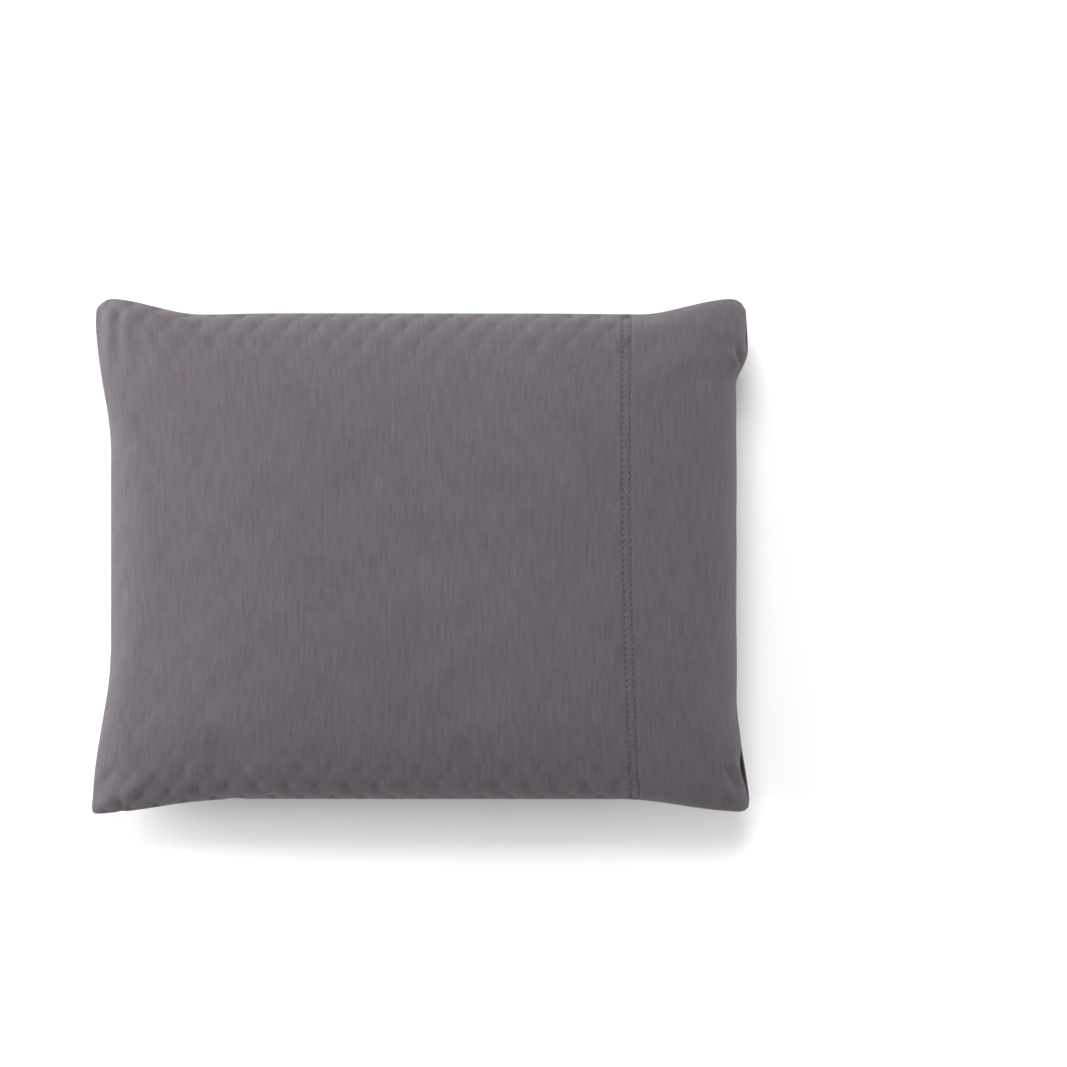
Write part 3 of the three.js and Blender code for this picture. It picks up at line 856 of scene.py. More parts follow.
def hem_line(v, offset):
    """Share u along the line of the hemstitch, at an offset towards the mouth."""
    line = HEM_PLACE + HEM_SLANT * v + HEM_BOW * v * v + offset
    return line / case_shell.half_length(np.ones_like(v), v)


def panel_end(v, facing):
    """Share u where a case panel meets the hemstitch."""
    return hem_line(v, -HEM_HALF_WIDTH - SEWN_GAP)


def band_start(v, facing):
    """Share u where a hem band meets the hemstitch."""
    return hem_line(v, HEM_HALF_WIDTH + SEWN_GAP)


def on_case(u, v, facing, lift=0.0):
    """Places on the finished case cloth, raised by lift."""
    here = case_shell.point(u, v, facing)
    normal = case_shell.outward(u, v, facing)
    height = case_relief(u, v, here[:, 0], here[:, 1], facing) + lift
    shift = moves_at(u, v, facing) + height[:, None] * normal
    from_end = case_shell.cut_length + case_shell.cloth_along(u)
    from_side = case_shell.cut_width - np.abs(case_shell.cloth_across(v))
    sewn = 1.0 - ease(0.0, SEWN_MARGIN, np.minimum(from_end, from_side))
    shift[:, 2] *= 1.0 - sewn
    place = here + shift
    place[:, 2] += facing * SEAM_HALF_GAP * sewn
    place[:, 2] = np.maximum(place[:, 2], 0.0)
    return place


def keep_cloth_map(mesh, s, t):
    """Stores each corner's place on the flat cloth, in metres, as the mesh's UV map."""
    corner_vertex = np.empty(len(mesh.loops), dtype=np.int32)
    mesh.loops.foreach_get("vertex_index", corner_vertex)
    flat = np.stack([s[corner_vertex], t[corner_vertex]], axis=-1)
    layer = mesh.uv_layers.new(name="cloth")
    layer.data.foreach_set("uv", flat.astype(np.float32).ravel())


def add_piece(name, mesh, material, replaced=(), body="root"):
    """Links a finished mesh as a piece of the pillow."""
    for polygon in mesh.polygons:
        polygon.use_smooth = True
    mesh.materials.clear()
    mesh.materials.append(material)
    piece = bpy.data.objects.new(name, mesh)
    bpy.context.collection.objects.link(piece)
    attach(piece, body)
    for node in replaced:
        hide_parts(node)
    return piece


def thicken(piece, thickness):
    """Gives a cloth piece its wall, inwards from the face that shows."""
    wall = piece.modifiers.new("cloth thickness", "SOLIDIFY")
    wall.thickness = thickness
    wall.offset = -1.0
    return wall


def flat_length(start_line, end_line, facing):
    """How much cloth lies between two lines, along the middle of the case."""
    middle = np.zeros(1)
    start = case_shell.cloth_along(start_line(middle, facing))
    end = case_shell.cloth_along(end_line(middle, facing))
    return float((end - start)[0])


def lay_case_piece(node, columns, rows, start_line, end_line, facing, thickness):
    mesh, a, b = new_grid(node, columns, rows)
    u, v = lay_between(case_shell, a, b, start_line, end_line, facing)
    set_points(mesh, on_case(u, v, facing))
    keep_cloth_map(mesh, case_shell.cloth_along(u), case_shell.cloth_across(v))
    if facing < 0:
        mesh.flip_normals()
    piece = add_piece(node + "_cloth", mesh, case_cloth, [node])
    thicken(piece, thickness)
    length = flat_length(start_line, end_line, facing)


FINE_ROWS = 198
COARSE_ROWS = 150
lay_case_piece("case_front_panel", 204, FINE_ROWS, closed_end, panel_end, 1, CASE_CLOTH)
lay_case_piece("case_back_panel", 156, COARSE_ROWS, closed_end, panel_end, -1, CASE_CLOTH)
lay_case_piece("case_front_hem_band", 52, FINE_ROWS, band_start, mouth_line, 1, HEM_CLOTH)
lay_case_piece("case_back_hem_band", 40, COARSE_ROWS, band_start, mouth_line, -1, HEM_CLOTH)

# %% [markdown]
# ## The hemstitch
#
# Where the band joins the panel runs a hemstitch: a narrow strip with two rows of needle holes, and
# thread wrapped between them. The strip is a fine grid. The faces at the needle holes are taken out,
# the strip is pressed in a little along both rows and raised between them, Subdivision Surface
# rounds the holes, and Solidify turns the strip into cloth with real holes in it.


# %% Hemstitch strips
STITCH_PITCH = 6.1 * MM
ROWS_A_PITCH = 4
HOLE_OF_PITCH = 2
HOLE_ROW = 3.5 * MM
STRIP_STEPS = (-4.7, -4.2, -2.8, -1.3, 0.0, 1.3, 2.8, 4.2, 4.7)
HOLE_COLUMNS = (1, 6)

RIDGE = (0.28 * MM, 1.9 * MM)
GROOVE = (0.22 * MM, 1.1 * MM)
PLAIN_END = 5
pitches = int(2 * case_shell.cut_width / STITCH_PITCH)


def strip_relief(offset):
    """A groove along each row of holes, with a soft ridge between them: height and width of each."""
    ridge = RIDGE[0] * np.exp(-((offset / RIDGE[1]) ** 2))
    groove = GROOVE[0] * np.exp(-(((np.abs(offset) - HOLE_ROW) / GROOVE[1]) ** 2))
    return ridge - groove


def is_hole(face, columns, rows):
    """Whether a face of the strip's grid lies where the needle went through."""
    row = face.index // columns
    in_row = face.index % columns in HOLE_COLUMNS and row % ROWS_A_PITCH == HOLE_OF_PITCH
    return in_row and PLAIN_END <= row < rows - PLAIN_END


def lay_hemstitch(node, facing):
    columns = len(STRIP_STEPS) - 1
    rows = pitches * ROWS_A_PITCH
    mesh, a, b = new_grid(node, columns, rows)
    column = np.round((a + 1.0) * 0.5 * columns).astype(int)
    offset = np.array(STRIP_STEPS)[column] * MM
    v = case_shell.across(b * case_shell.cut_width)
    u = hem_line(v, offset)
    set_points(mesh, on_case(u, v, facing, strip_relief(offset)))
    keep_cloth_map(mesh, case_shell.cloth_along(u), case_shell.cloth_across(v))
    strip = bmesh.new()
    strip.from_mesh(mesh)
    strip.faces.ensure_lookup_table()
    holes = [face for face in strip.faces if is_hole(face, columns, rows)]
    bmesh.ops.delete(strip, geom=holes, context="FACES")
    strip.to_mesh(mesh)
    strip.free()
    if facing < 0:
        mesh.flip_normals()
    piece = add_piece(node + "_cloth", mesh, case_cloth, [node])
    rounding = piece.modifiers.new("round the holes", "SUBSURF")
    rounding.levels = 1
    rounding.render_levels = 1
    thicken(piece, CASE_CLOTH)
    print(node, "needle holes:", len(holes))


lay_hemstitch("case_front_hemstitch", 1)
lay_hemstitch("case_back_hemstitch", -1)

# %% [markdown]
# ## The hemstitch's thread
#
# Between the holes lie short threads: along both rows, and slanting from one row to the other. A
# thread that goes in and out of cloth is thickest in its middle, so each is a small ball that is
# stretched from hole to hole. Hundreds of them make one piece, with few faces each.


# %% Thread between the holes
thread_finish = Finish("case_hemstitch_thread", "object")
thread_tone = thread_finish.noise(1.2 * MM, 1.2 * MM, 1.2 * MM)
thread_twist = thread_finish.ribs(0.8 * MM, 1)
case_thread = thread_finish.finish(
    thread_finish.blend(thread_tone, (0.072, 0.061, 0.072), (0.125, 0.108, 0.125)),
    thread_finish.between(thread_tone, 0.2, 0.8, 0.55, 0.75),
    thread_twist,
    0.4,
    0.1 * MM,
)

THREADS_A_BATCH = 40
THREAD = 0.6 * MM
ROW_LIFT = 0.05 * MM
CROSS_LIFT = 0.35 * MM
ROW_INSET = 0.17
CROSS_INSET = 0.12


def thread_place(start, end, normal, thickness):
    """The matrix that stretches a ball of radius 1 into a thread from start to end."""
    along = Vector(end - start)
    length = along.length
    along.normalize()
    side = Vector(normal).cross(along).normalized()
    axes = Matrix((along, side, along.cross(side))).transposed().to_4x4()
    size = Matrix.Diagonal((0.5 * length, 0.5 * thickness, 0.5 * thickness, 1.0))
    return Matrix.Translation(Vector((start + end) * 0.5)) @ axes @ size


def thread_bars(starts, ends, normals, thickness):
    """One mesh of many short threads. Small batches keep the operators quick."""
    bars = bmesh.new()
    for first in range(0, len(starts), THREADS_A_BATCH):
        batch = slice(first, first + THREADS_A_BATCH)
        few = bmesh.new()
        for start, end, normal in zip(starts[batch], ends[batch], normals[batch]):
            place = thread_place(start, end, normal, thickness)
            bmesh.ops.create_uvsphere(few, u_segments=6, v_segments=5, radius=1.0, matrix=place)
        mesh = bpy.data.meshes.new("thread_batch")
        few.to_mesh(mesh)
        few.free()
        bars.from_mesh(mesh)
        bpy.data.meshes.remove(mesh)
    return bars


def hole_places(side, facing, lift):
    """The middle of every needle hole in one row, and the direction out of the cloth there."""
    count = np.arange(1, pitches - 1)
    t = (count + (HOLE_OF_PITCH + 0.5) / ROWS_A_PITCH) / pitches * 2.0 - 1.0
    v = case_shell.across(t * case_shell.cut_width)
    u = hem_line(v, np.full_like(v, side * HOLE_ROW))
    return on_case(u, v, facing, lift), case_shell.outward(u, v, facing)


def sew_hemstitch(node, facing):
    """Makes all the threads of one hemstitch as one piece."""
    starts = []
    ends = []
    outs = []
    for side in (-1, 1):
        places, normals = hole_places(side, facing, ROW_LIFT)
        step = places[1:] - places[:-1]
        starts.extend(places[:-1] + ROW_INSET * step)
        ends.extend(places[1:] - ROW_INSET * step)
        outs.extend(normals[:-1])
    left, left_normals = hole_places(-1, facing, CROSS_LIFT)
    right, _ = hole_places(1, facing, CROSS_LIFT)
    step = right[1:] - left[:-1]
    starts.extend(left[:-1] + CROSS_INSET * step)
    ends.extend(right[1:] - CROSS_INSET * step)
    outs.extend(left_normals[:-1])
    bars = thread_bars(starts, ends, outs, THREAD)
    mesh = bpy.data.meshes.new(node + "_thread")
    bars.to_mesh(mesh)
    bars.free()
    return add_piece(node + "_thread", mesh, case_thread)


for facing, node in ((1, "case_front_hemstitch"), (-1, "case_back_hemstitch")):
    stitches = sew_hemstitch(node, facing)
    print(node, "faces of thread:", len(stitches.data.polygons))

# %% [markdown]
# ## Seam allowances inside the case
#
# Behind each sewn edge the two layers of cloth carry on inwards for a few millimetres. That fin is
# a long strip with a slight wave, overlocked along its free edge so that it does not fray.


# %% Seam allowances
SEAM_START = 1.6 * MM
SEAM_DEPTH = 4.0 * MM
SEAM_END = 0.93
SEAM_CLOTH = 0.9 * MM
SEAM_WAVE = 0.35 * MM
SEAM_WAVES = 61.0
OVERLOCK_PITCH = 3.5 * MM
OVERLOCK_REACH = 0.98
OVERLOCK_INNER = SEAM_START + 0.45 * SEAM_DEPTH
OVERLOCK_THREAD = 0.5 * MM
OVERLOCK_LIFT = 0.5 * SEAM_CLOTH + 0.12 * MM


def seam_point(a, depth, edge):
    """A place on a seam allowance: a runs along the edge, depth goes in from it."""
    along = SEAM_END * a
    if edge == "closed_end":
        u, v = -np.ones_like(along), along
    else:
        u, v = along, np.full_like(along, 1.0 if edge == "upper" else -1.0)
    x, y = case_shell.plan(u, v)
    z = SEAM_HEIGHT - case_shell.droop * np.abs(u * v) ** DROOP_POWER
    wave = SEAM_WAVE * np.sin(along * SEAM_WAVES) * depth / (SEAM_START + SEAM_DEPTH)
    if edge == "closed_end":
        x = x + depth
    else:
        y = y - v * depth
    return np.stack([x, y, z + wave - 0.5 * SEAM_CLOTH], axis=-1)


def lay_seam(edge, node, length):
    mesh, a, b = new_grid(node, 320, 3)
    depth = SEAM_START + 0.5 * (b + 1.0) * SEAM_DEPTH
    set_points(mesh, seam_point(a, depth, edge))
    keep_cloth_map(mesh, a * 0.5 * length, depth)
    if sum(polygon.normal.z for polygon in mesh.polygons) <= 0:
        mesh.flip_normals()
    seam = add_piece(node + "_cloth", mesh, case_cloth, [node])
    thicken(seam, SEAM_CLOTH).offset = 0.0


def overlock_seam(edge, node, length):
    """Sews slanting threads over the free edge of a fin."""
    count = int(length / OVERLOCK_PITCH)
    knots = np.linspace(-OVERLOCK_REACH, OVERLOCK_REACH, count)
    lift = np.array((0.0, 0.0, OVERLOCK_LIFT))
    outer = seam_point(knots, np.full_like(knots, SEAM_START + SEAM_DEPTH), edge) + lift
    inner = seam_point(knots, np.full_like(knots, OVERLOCK_INNER), edge) + lift
    upwards = np.tile((0.0, 0.0, 1.0), (count - 1, 1))
    loops = thread_bars(inner[:-1], outer[1:], upwards, OVERLOCK_THREAD)
    mesh = bpy.data.meshes.new(node + "_overlock")
    loops.to_mesh(mesh)
    loops.free()
    add_piece(node + "_overlock", mesh, case_thread)
    print(node, "overlock stitches:", count - 1)


for seam in (
    ("upper", "case_upper_side_seam", 0.60),
    ("lower", "case_lower_side_seam", 0.60),
    ("closed_end", "case_closed_end_seam", 0.45),
):
    lay_seam(*seam)
    overlock_seam(*seam)

# %% [markdown]
# ## The inner layers
#
# The cover, the liner and the filling are the same kind of stuffed rectangle, each a little smaller
# than the one outside it. Their shells take their sizes from the frame's boxes. The end at the zip is
# cut short, so that the zip has room to lie between the cover's two faces.


# %% Shells of the inner layers
INNER_DROOP = 8 * MM
INNER_RADIUS = 34 * MM
ZIP_ROOM = 1.6 * MM
CLOSES_AFTER = 2 * MM
CLOSED_BY = 20 * MM


def inner_shell(top_node, bottom_node, ear):
    """A shell with four equal corners, sized by the frame's boxes for its two faces."""
    low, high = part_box(top_node)
    bottom_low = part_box(bottom_node)[0]
    return Shell(
        left=-low.x - ear,
        right=high.x - ear,
        side=high.y - ear,
        rise=high.z - SEAM_HEIGHT,
        floor=bottom_low.z,
        droop=INNER_DROOP,
        ears={
            "lengthwise": (ear,) * 4,
            "crosswise": (ear,) * 4,
            "start": (0.5,) * 4,
            "end": (1.0,) * 4,
            "side_start": (0.72,) * 4,
            "radius": (INNER_RADIUS,) * 4,
        },
    )


cover_shell = inner_shell("cover_top_quilted_panel", "cover_bottom_quilted_panel", 4 * MM)
liner_shell = inner_shell("liner_top_panel", "liner_bottom_panel", 2 * MM)
fill_shell = inner_shell("fill", "fill", 2 * MM)
zip_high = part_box("zip_upper_tape")[1]
ZIP_SLOT = zip_high.z - SEAM_HEIGHT + ZIP_ROOM
ZIP_HALF = zip_high.y


def zip_end(v, facing):
    """Share u where the cover ends: short beside the zip, and full length beyond it."""
    room = np.maximum(1.0 - np.abs(v) ** CROWN_POWER, TINY)
    short = (1.0 - np.clip((ZIP_SLOT / cover_shell.rise) ** 2 / room, 0.0, 1.0)) ** (1.0 / CROWN_POWER)
    beyond = ease(ZIP_HALF + CLOSES_AFTER, ZIP_HALF + CLOSED_BY, v * cover_shell.side)
    return short + (1.0 - short) * beyond


def full_end(v, facing):
    """Share u where the liner and the filling end, with no room cut out for the zip."""
    return 1.0 + 0.0 * v


print("zip slot half height mm:", round(ZIP_SLOT / MM, 1))

# %% [markdown]
# ## Plain cottons
#
# Everything inside the case is undyed: ecru cotton, open muslin, cream tape and white satin. One
# recipe serves them all. Each has two close tones, and the period of its yarns sets the bump.


# %% Cotton finishes
def plain_cloth(name, dark, light, period, across=3 * MM, along=3 * MM, rough=0.85, strength=0.4):
    """Plain woven cloth of two close tones, with yarns of that period."""
    cloth = Finish(name, "cloth")
    tone = cloth.noise(across, along, detail=3.0)
    drift = cloth.noise(70 * MM, 70 * MM)
    drift_share = cloth.number("MULTIPLY", drift, 0.4)
    mixed = cloth.number("ADD", cloth.number("MULTIPLY", tone, 0.7), drift_share)
    height = cloth.number("ADD", cloth.weave(period), cloth.number("MULTIPLY", tone, 0.5))
    cloth.shader.inputs["Specular IOR Level"].default_value = 0.3
    return cloth.finish(
        cloth.blend(cloth.between(mixed, 0.35, 0.75), dark, light),
        cloth.between(tone, 0.2, 0.8, rough - 0.06, rough + 0.06),
        height,
        strength,
        0.3 * MM,
    )


ECRU = ((0.62, 0.59, 0.53), (0.74, 0.72, 0.67))
PIPING_ECRU = ((0.66, 0.63, 0.57), (0.78, 0.76, 0.71))
MUSLIN = ((0.66, 0.64, 0.60), (0.80, 0.79, 0.76))
TAPE_CREAM = ((0.68, 0.65, 0.59), (0.80, 0.78, 0.73))
SATIN_WHITE = ((0.74, 0.73, 0.70), (0.84, 0.83, 0.81))
cover_cotton = plain_cloth("cover_cotton_ecru", *ECRU, 0.8 * MM)
piping_cotton = plain_cloth("cover_piping_cotton", *PIPING_ECRU, 1.0 * MM)
liner_muslin = plain_cloth("liner_open_muslin", *MUSLIN, 1.4 * MM, strength=0.7)
zip_tape = plain_cloth("zip_woven_tape", *TAPE_CREAM, 0.9 * MM, 1 * MM, 6 * MM)
label_satin = plain_cloth("label_blank_satin", *SATIN_WHITE, 0.35 * MM, rough=0.45)
label_satin.node_tree.nodes["Principled BSDF"].inputs["Sheen Weight"].default_value = 0.3
cottons = (cover_cotton, piping_cotton, liner_muslin, zip_tape, label_satin)
print("cottons:", [cotton.name for cotton in cottons])

# %% [markdown]
# ## Quilted cover
#
# The cover is two cotton faces with a thin wadding between them, sewn through along crossing
# diagonals. The sewn lines pull in and the wadding stands up in diamonds. The grid is laid on the
# shell, each line is drawn in along the cloth's normal, and Solidify gives the padded wall. The
# sewn lines stay plain grooves, because the case hides their stitches.
#
# Beside the edge seam the puffs fade out. The lower face rests on the case, so no place on it goes
# below the shell's floor.


# %% Quilted cover
COVER_WALL = 5.2 * MM
COVER_EDGE = (2 * MM, 12 * MM)
PUFF_HEIGHT = 2.6
PUFF_DROP = 2.0
EDGE_DROP = 1.0
FACES_APART = 0.3 * MM


def lay_cover(node, facing):
    mesh, a, b = new_grid(node, 168, 138)
    u, v = lay_between(cover_shell, a, b, closed_end, zip_end, facing)
    s = cover_shell.cloth_along(u)
    t = cover_shell.cloth_across(v)
    from_edge = np.minimum(cover_shell.cut_length + s, cover_shell.cut_width - np.abs(t))
    inside = ease(*COVER_EDGE, from_edge)
    puffs = PUFF_HEIGHT * quilt_puff(s, t) - PUFF_DROP
    height = (puffs * inside - EDGE_DROP * (1.0 - inside)) * MM
    place = cover_shell.point(u, v, facing) + height[:, None] * cover_shell.outward(u, v, facing)
    place[:, 2] += facing * FACES_APART * (1.0 - inside)
    place[:, 2] = np.maximum(place[:, 2], cover_shell.floor)
    set_points(mesh, place)
    keep_cloth_map(mesh, s, t)
    if facing < 0:
        mesh.flip_normals()
    piece = add_piece(node + "_quilting", mesh, cover_cotton, [node])
    thicken(piece, COVER_WALL)
    return piece


for facing, node in ((1, "cover_top_quilted_panel"), (-1, "cover_bottom_quilted_panel")):
    cover_piece = lay_cover(node, facing)
    print(node, "faces:", len(cover_piece.data.polygons))

# %% [markdown]
# ## Liner
#
# The liner is a bag of thin open muslin that holds the loose fibre. It lies over the filling in soft
# creases. It starts from the same grids as the cover, with a slow swell in place of the quilt.


# %% Liner
LINER_CLOTH = 0.6 * MM
LINER_EDGE = (0.0, 25 * MM)
CREASE_HEIGHT = 0.45


def lay_liner(node, facing):
    mesh, a, b = new_grid(node, 120, 96)
    u, v = lay_between(liner_shell, a, b, closed_end, full_end, facing)
    s = liner_shell.cloth_along(u)
    t = liner_shell.cloth_across(v)
    from_edge = np.minimum(liner_shell.cut_length - np.abs(s), liner_shell.cut_width - np.abs(t))
    inside = ease(*LINER_EDGE, from_edge)
    height = CREASE_HEIGHT * (gentle_swell(2.2 * s, 1.7 * t) - 1.0) * MM * inside
    place = liner_shell.point(u, v, facing) + height[:, None] * liner_shell.outward(u, v, facing)
    place[:, 2] += facing * FACES_APART * (1.0 - inside)
    set_points(mesh, place)
    keep_cloth_map(mesh, s, t)
    if facing < 0:
        mesh.flip_normals()
    piece = add_piece(node + "_muslin", mesh, liner_muslin, [node])
    thicken(piece, LINER_CLOTH)


for facing, node in ((1, "liner_top_panel"), (-1, "liner_bottom_panel")):
    lay_liner(node, facing)

# %% [markdown]
# ## Fibre filling
#
# The filling is a mass of fibre, teased into tufts. Its two halves start from the same grids and are
# welded round the rim into one closed cushion. The welded shape gets its faces turned outwards
# afterwards. Single fibres are far too fine to model, so the material's bump stands in for them.

# %% Fibre filling
TUFT_HEIGHT = 0.9
TUFT_DROP = 1.4
RIM_FADE = (0.0, 20 * MM)
RIM_WELD = 0.05 * MM
fibre = Finish("fill_teased_fibre", "object")
fibre_tuft = fibre.noise(14 * MM, 14 * MM, 14 * MM, detail=4.0)
fibre_hair = fibre.noise(0.6 * MM, 5 * MM, 2 * MM, detail=4.0)
fibre.shader.inputs["Sheen Weight"].default_value = 0.4
fibre.shader.inputs["Subsurface Weight"].default_value = 0.1
fill_fibre = fibre.finish(
    fibre.blend(fibre_tuft, (0.78, 0.78, 0.77), (0.90, 0.90, 0.89)),
    fibre.between(fibre_tuft, 0.2, 0.8, 0.9, 1.0),
    fibre.number("ADD", fibre_tuft, fibre_hair),
    0.8,
    1.0 * MM,
)

halves = bmesh.new()
for facing in (1, -1):
    mesh, a, b = new_grid("fill_half", 130, 104)
    u, v = lay_between(fill_shell, a, b, closed_end, full_end, facing)
    s = fill_shell.cloth_along(u)
    t = fill_shell.cloth_across(v)
    from_edge = np.minimum(fill_shell.cut_length - np.abs(s), fill_shell.cut_width - np.abs(t))
    tufts = gentle_swell(3.1 * s + 0.4 * t, 3.4 * t) + 0.6 * gentle_swell(7.3 * s, 6.1 * t + s)
    height = (TUFT_HEIGHT * tufts - TUFT_DROP) * MM * ease(*RIM_FADE, from_edge)
    place = fill_shell.point(u, v, facing) + height[:, None] * fill_shell.outward(u, v, facing)
    set_points(mesh, place)
    if facing < 0:
        mesh.flip_normals()
    halves.from_mesh(mesh)
    bpy.data.meshes.remove(mesh)
bmesh.ops.remove_doubles(halves, verts=halves.verts, dist=RIM_WELD)
bmesh.ops.recalc_face_normals(halves, faces=halves.faces)
mesh = bpy.data.meshes.new("fill")
halves.to_mesh(mesh)
halves.free()
filling = add_piece("fill_teased", mesh, fill_fibre, ["fill"])
print("filling faces:", len(filling.data.polygons))

# %% [markdown]
# ## Piping
#
# A thin cord wrapped in cotton runs round the cover's edge, from one end of the zip to the other. Its
# route is the edge of the shell, so a curve with a round section makes it in one go, with its two
# ends closed. It is turned into a mesh afterwards, like every other piece.

# %% Piping round the cover
PIPING_RADIUS = 1.6 * MM
PIPING_POINTS = 360
PIPING_GAP = 0.5 * MM
MAP_STEP_ALONG = 5.5 * MM
MAP_STEP_ROUND = 1.2 * MM
PAST_ZIP = 4 * MM
first_turn = math.atan((ZIP_HALF + PAST_ZIP) / cover_shell.side)
turn = np.linspace(first_turn, math.tau - first_turn, PIPING_POINTS)
square = np.maximum(np.abs(np.cos(turn)), np.abs(np.sin(turn)))
rim_u = np.cos(turn) / square
rim_v = np.sin(turn) / square
rim_x, rim_y = cover_shell.plan(rim_u, rim_v)
rim = np.stack([rim_x, rim_y], axis=-1)
rim_z = SEAM_HEIGHT - cover_shell.droop * np.abs(rim_u * rim_v) ** DROOP_POWER
ahead = np.gradient(rim, axis=0)
out = np.stack([ahead[:, 1], -ahead[:, 0]], axis=-1)
rim = rim + out / np.linalg.norm(out, axis=1, keepdims=True) * (PIPING_RADIUS + PIPING_GAP)

piping_curve = bpy.data.curves.new("cover_piping", "CURVE")
piping_curve.dimensions = "3D"
piping_curve.bevel_depth = PIPING_RADIUS
piping_curve.bevel_resolution = 3
route = piping_curve.splines.new("POLY")
route.points.add(PIPING_POINTS - 1)
for point, (x, y), z in zip(route.points, rim, rim_z):
    point.co = (x, y, z, 1.0)
piping_curve.use_fill_caps = True
maker = bpy.data.objects.new("piping_maker", piping_curve)
bpy.context.collection.objects.link(maker)
mesh = bpy.data.meshes.new_from_object(maker.evaluated_get(bpy.context.evaluated_depsgraph_get()))
bpy.data.objects.remove(maker)
section = int(len(mesh.vertices) / PIPING_POINTS)
order = np.arange(len(mesh.vertices))
keep_cloth_map(mesh, order // section * MAP_STEP_ALONG, order % section * MAP_STEP_ROUND)
piping = add_piece("cover_piping_cord", mesh, piping_cotton, ["cover_piping"])
print("piping faces:", len(piping.data.polygons))

# %% [markdown]
# ## Zip tapes
#
# A coil zip has two woven tapes, one for each face of the cover. Each is a flat strip, with a slight
# bow along its length and a raised band down its middle.


# %% Zip tapes
TAPE_BOW = 0.18 * MM
TAPE_BOWS = 43.0
TAPE_BAND = 0.12 * MM
TAPE_ROWS = 8
for node in ("zip_upper_tape", "zip_lower_tape"):
    low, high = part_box(node)
    mesh, a, b = new_grid(node, 240, TAPE_ROWS)
    y = low.y + 0.5 * (a + 1.0) * (high.y - low.y)
    z = low.z + 0.5 * (b + 1.0) * (high.z - low.z)
    bow = TAPE_BOW * np.sin(y * TAPE_BOWS) * (b if node == "zip_upper_tape" else -b)
    row_from_middle = np.abs(np.round(b * 0.5 * TAPE_ROWS))
    band = TAPE_BAND * (row_from_middle < 1.5)
    set_points(mesh, np.stack([high.x + bow + band, y, z], axis=-1))
    keep_cloth_map(mesh, z, y)
    if sum(polygon.normal.x for polygon in mesh.polygons) < 0:
        mesh.flip_normals()
    tape = add_piece(node + "_woven", mesh, zip_tape, [node])
    thicken(tape, high.x - low.x)
    print(node, "mm:", round((high.y - low.y) / MM), round((high.z - low.z) / MM, 1))

# %% [markdown]
# ## Zip coils
#
# A coil is a helix of nylon: one small ring, spun round the tape's edge while it moves along.
# Blender's spin does both at once when it is given a step along the axis. One turn is spun, copied
# along the tape and welded end to end, and the coil is pressed flat afterwards, as the real one is.


# %% Zip coils
nylon = Finish("zip_coil_nylon", "object")
nylon_tone = nylon.noise(2 * MM, 2 * MM, 2 * MM)
nylon.shader.inputs["Coat Weight"].default_value = 0.15
zip_nylon = nylon.finish(
    nylon.blend(nylon_tone, (0.66, 0.63, 0.57), (0.78, 0.76, 0.71)),
    nylon.between(nylon_tone, 0.2, 0.8, 0.30, 0.45),
    nylon_tone,
    0.15,
    0.05 * MM,
)

COIL_PITCH = 1.7 * MM
COIL_STEPS = 10
COIL_WIRE = 0.36 * MM
COIL_WELD = 0.01 * MM
COIL_SIDES = 6


def wind_coil(node):
    """Winds one coil inside its frame box."""
    low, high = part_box(node)
    middle = (low + high) * 0.5
    radius = 0.5 * (high.z - low.z) - COIL_WIRE
    turns = int((high.y - low.y) / COIL_PITCH) - 1
    coil = bmesh.new()
    ring_place = Matrix.Translation((middle.x, low.y + COIL_WIRE, middle.z + radius))
    ring = ring_place @ Matrix.Rotation(math.pi / 2.0, 4, "Y")
    bmesh.ops.create_circle(coil, cap_ends=False, segments=COIL_SIDES, radius=COIL_WIRE, matrix=ring)
    bmesh.ops.spin(
        coil,
        geom=coil.verts[:] + coil.edges[:],
        cent=(middle.x, low.y, middle.z),
        axis=(0.0, 1.0, 0.0),
        dvec=(0.0, COIL_PITCH / COIL_STEPS, 0.0),
        angle=math.tau,
        steps=COIL_STEPS,
        use_duplicate=False,
    )
    one_turn = bpy.data.meshes.new(node + "_turn")
    coil.to_mesh(one_turn)
    for _ in range(1, turns):
        one_turn.transform(Matrix.Translation((0.0, COIL_PITCH, 0.0)))
        coil.from_mesh(one_turn)
    bpy.data.meshes.remove(one_turn)
    bmesh.ops.remove_doubles(coil, verts=coil.verts, dist=COIL_WELD)
    open_ends = [edge for edge in coil.edges if edge.is_boundary]
    bmesh.ops.holes_fill(coil, edges=open_ends, sides=8)
    flatten = (high.x - low.x) / (high.z - low.z)
    about_middle = Matrix.Translation((-middle.x, 0.0, 0.0))
    bmesh.ops.scale(coil, vec=(flatten, 1.0, 1.0), verts=coil.verts, space=about_middle)
    bmesh.ops.recalc_face_normals(coil, faces=coil.faces)
    mesh = bpy.data.meshes.new(node)
    coil.to_mesh(mesh)
    coil.free()
    add_piece(node + "_helix", mesh, zip_nylon, [node])
    print(node, "turns:", turns, "faces:", len(mesh.polygons))


for node in ("zip_upper_coil", "zip_lower_coil"):
    wind_coil(node)

# %% [markdown]
# ## Zip slider, pull tab and stops
#
# These small metal parts already have their working shapes in the frame: two plates with a bridge,
# a tab with an eye, and three stops. They keep those shapes and get a satin nickel finish, with fine
# scratches and slight clouding.


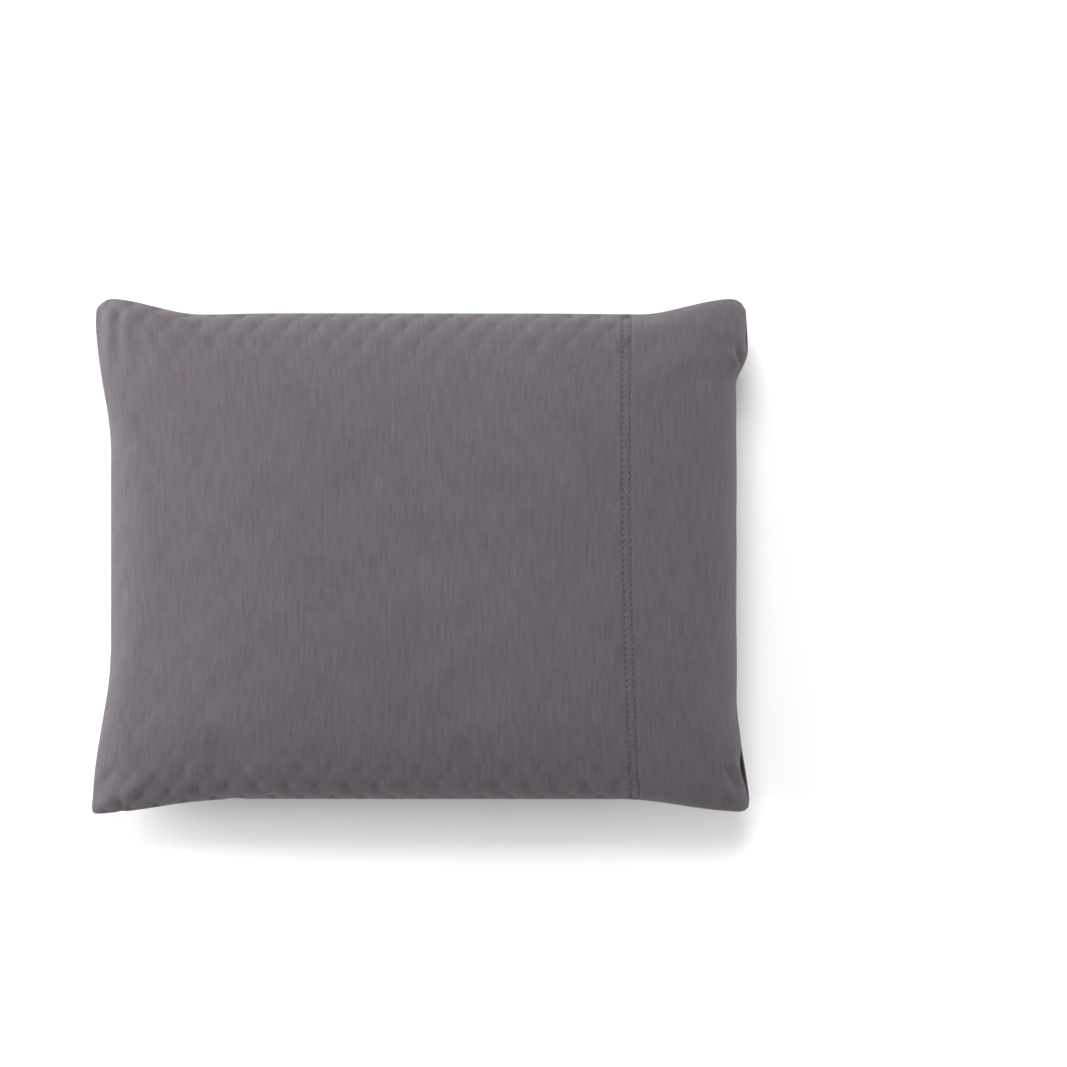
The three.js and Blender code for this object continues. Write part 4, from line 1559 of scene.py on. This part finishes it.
# %% Zip metal
metal = Finish("zip_satin_nickel", "object")
metal_cast = metal.noise(1.6 * MM, 1.6 * MM, 1.6 * MM, detail=3.0)
metal_scratch = metal.noise(0.15 * MM, 3.5 * MM, 0.3 * MM, detail=2.0)
metal.shader.inputs["Metallic"].default_value = 1.0
zip_metal = metal.finish(
    metal.blend(metal_cast, (0.42, 0.43, 0.44), (0.56, 0.565, 0.57)),
    metal.between(metal_scratch, 0.3, 0.7, 0.26, 0.46),
    metal.number("ADD", metal_cast, metal_scratch),
    0.25,
    0.05 * MM,
)
METAL_NODES = (
    "zip_slider",
    "zip_pull_tab",
    "zip_upper_top_stop",
    "zip_lower_top_stop",
    "zip_bottom_stop",
)
for node in METAL_NODES:
    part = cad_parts[node]
    for material_slot in part.material_slots:
        material_slot.material = zip_metal
print("metal parts:", len(METAL_NODES))

# %% [markdown]
# ## Blank labels
#
# One small satin label is caught in the seam near the mouth, and one lies on the cover's underside.
# Both are blank. Each is a cut strip with a slight curl and a thicker fold at both of its ends.


# %% Labels
LABEL_CURL = 0.12 * MM
LABEL_FOLD = 0.08 * MM
LABEL_FOLD_FROM = 0.85
LABEL_DROP = 0.1 * MM
LABEL_WALL = 0.6
for node, rests_on in (("case_care_label", "case_back_hem_band"), ("cover_label", "case_back_panel")):
    low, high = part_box(node)
    thickness = high.z - low.z
    mesh, a, b = new_grid(node, 28, 24)
    x = low.x + 0.5 * (a + 1.0) * (high.x - low.x)
    y = low.y + 0.5 * (b + 1.0) * (high.y - low.y)
    curl = LABEL_CURL * np.sin(2.4 * a + 0.5) * np.cos(1.7 * b)
    fold = LABEL_FOLD * (np.abs(a) > LABEL_FOLD_FROM)
    set_points(mesh, np.stack([x, y, high.z - LABEL_DROP + curl + fold], axis=-1))
    keep_cloth_map(mesh, x, y)
    label = add_piece(node + "_satin", mesh, label_satin, [node])
    thicken(label, LABEL_WALL * thickness)
    print(node, "mm:", round((high.x - low.x) / MM), round((high.y - low.y) / MM))

# %% [markdown]
# ## Finish
#
# The last step brings the scene up to date. Cloth may stand a few millimetres proud of the frame.

# %% Finish
bpy.context.view_layer.update()
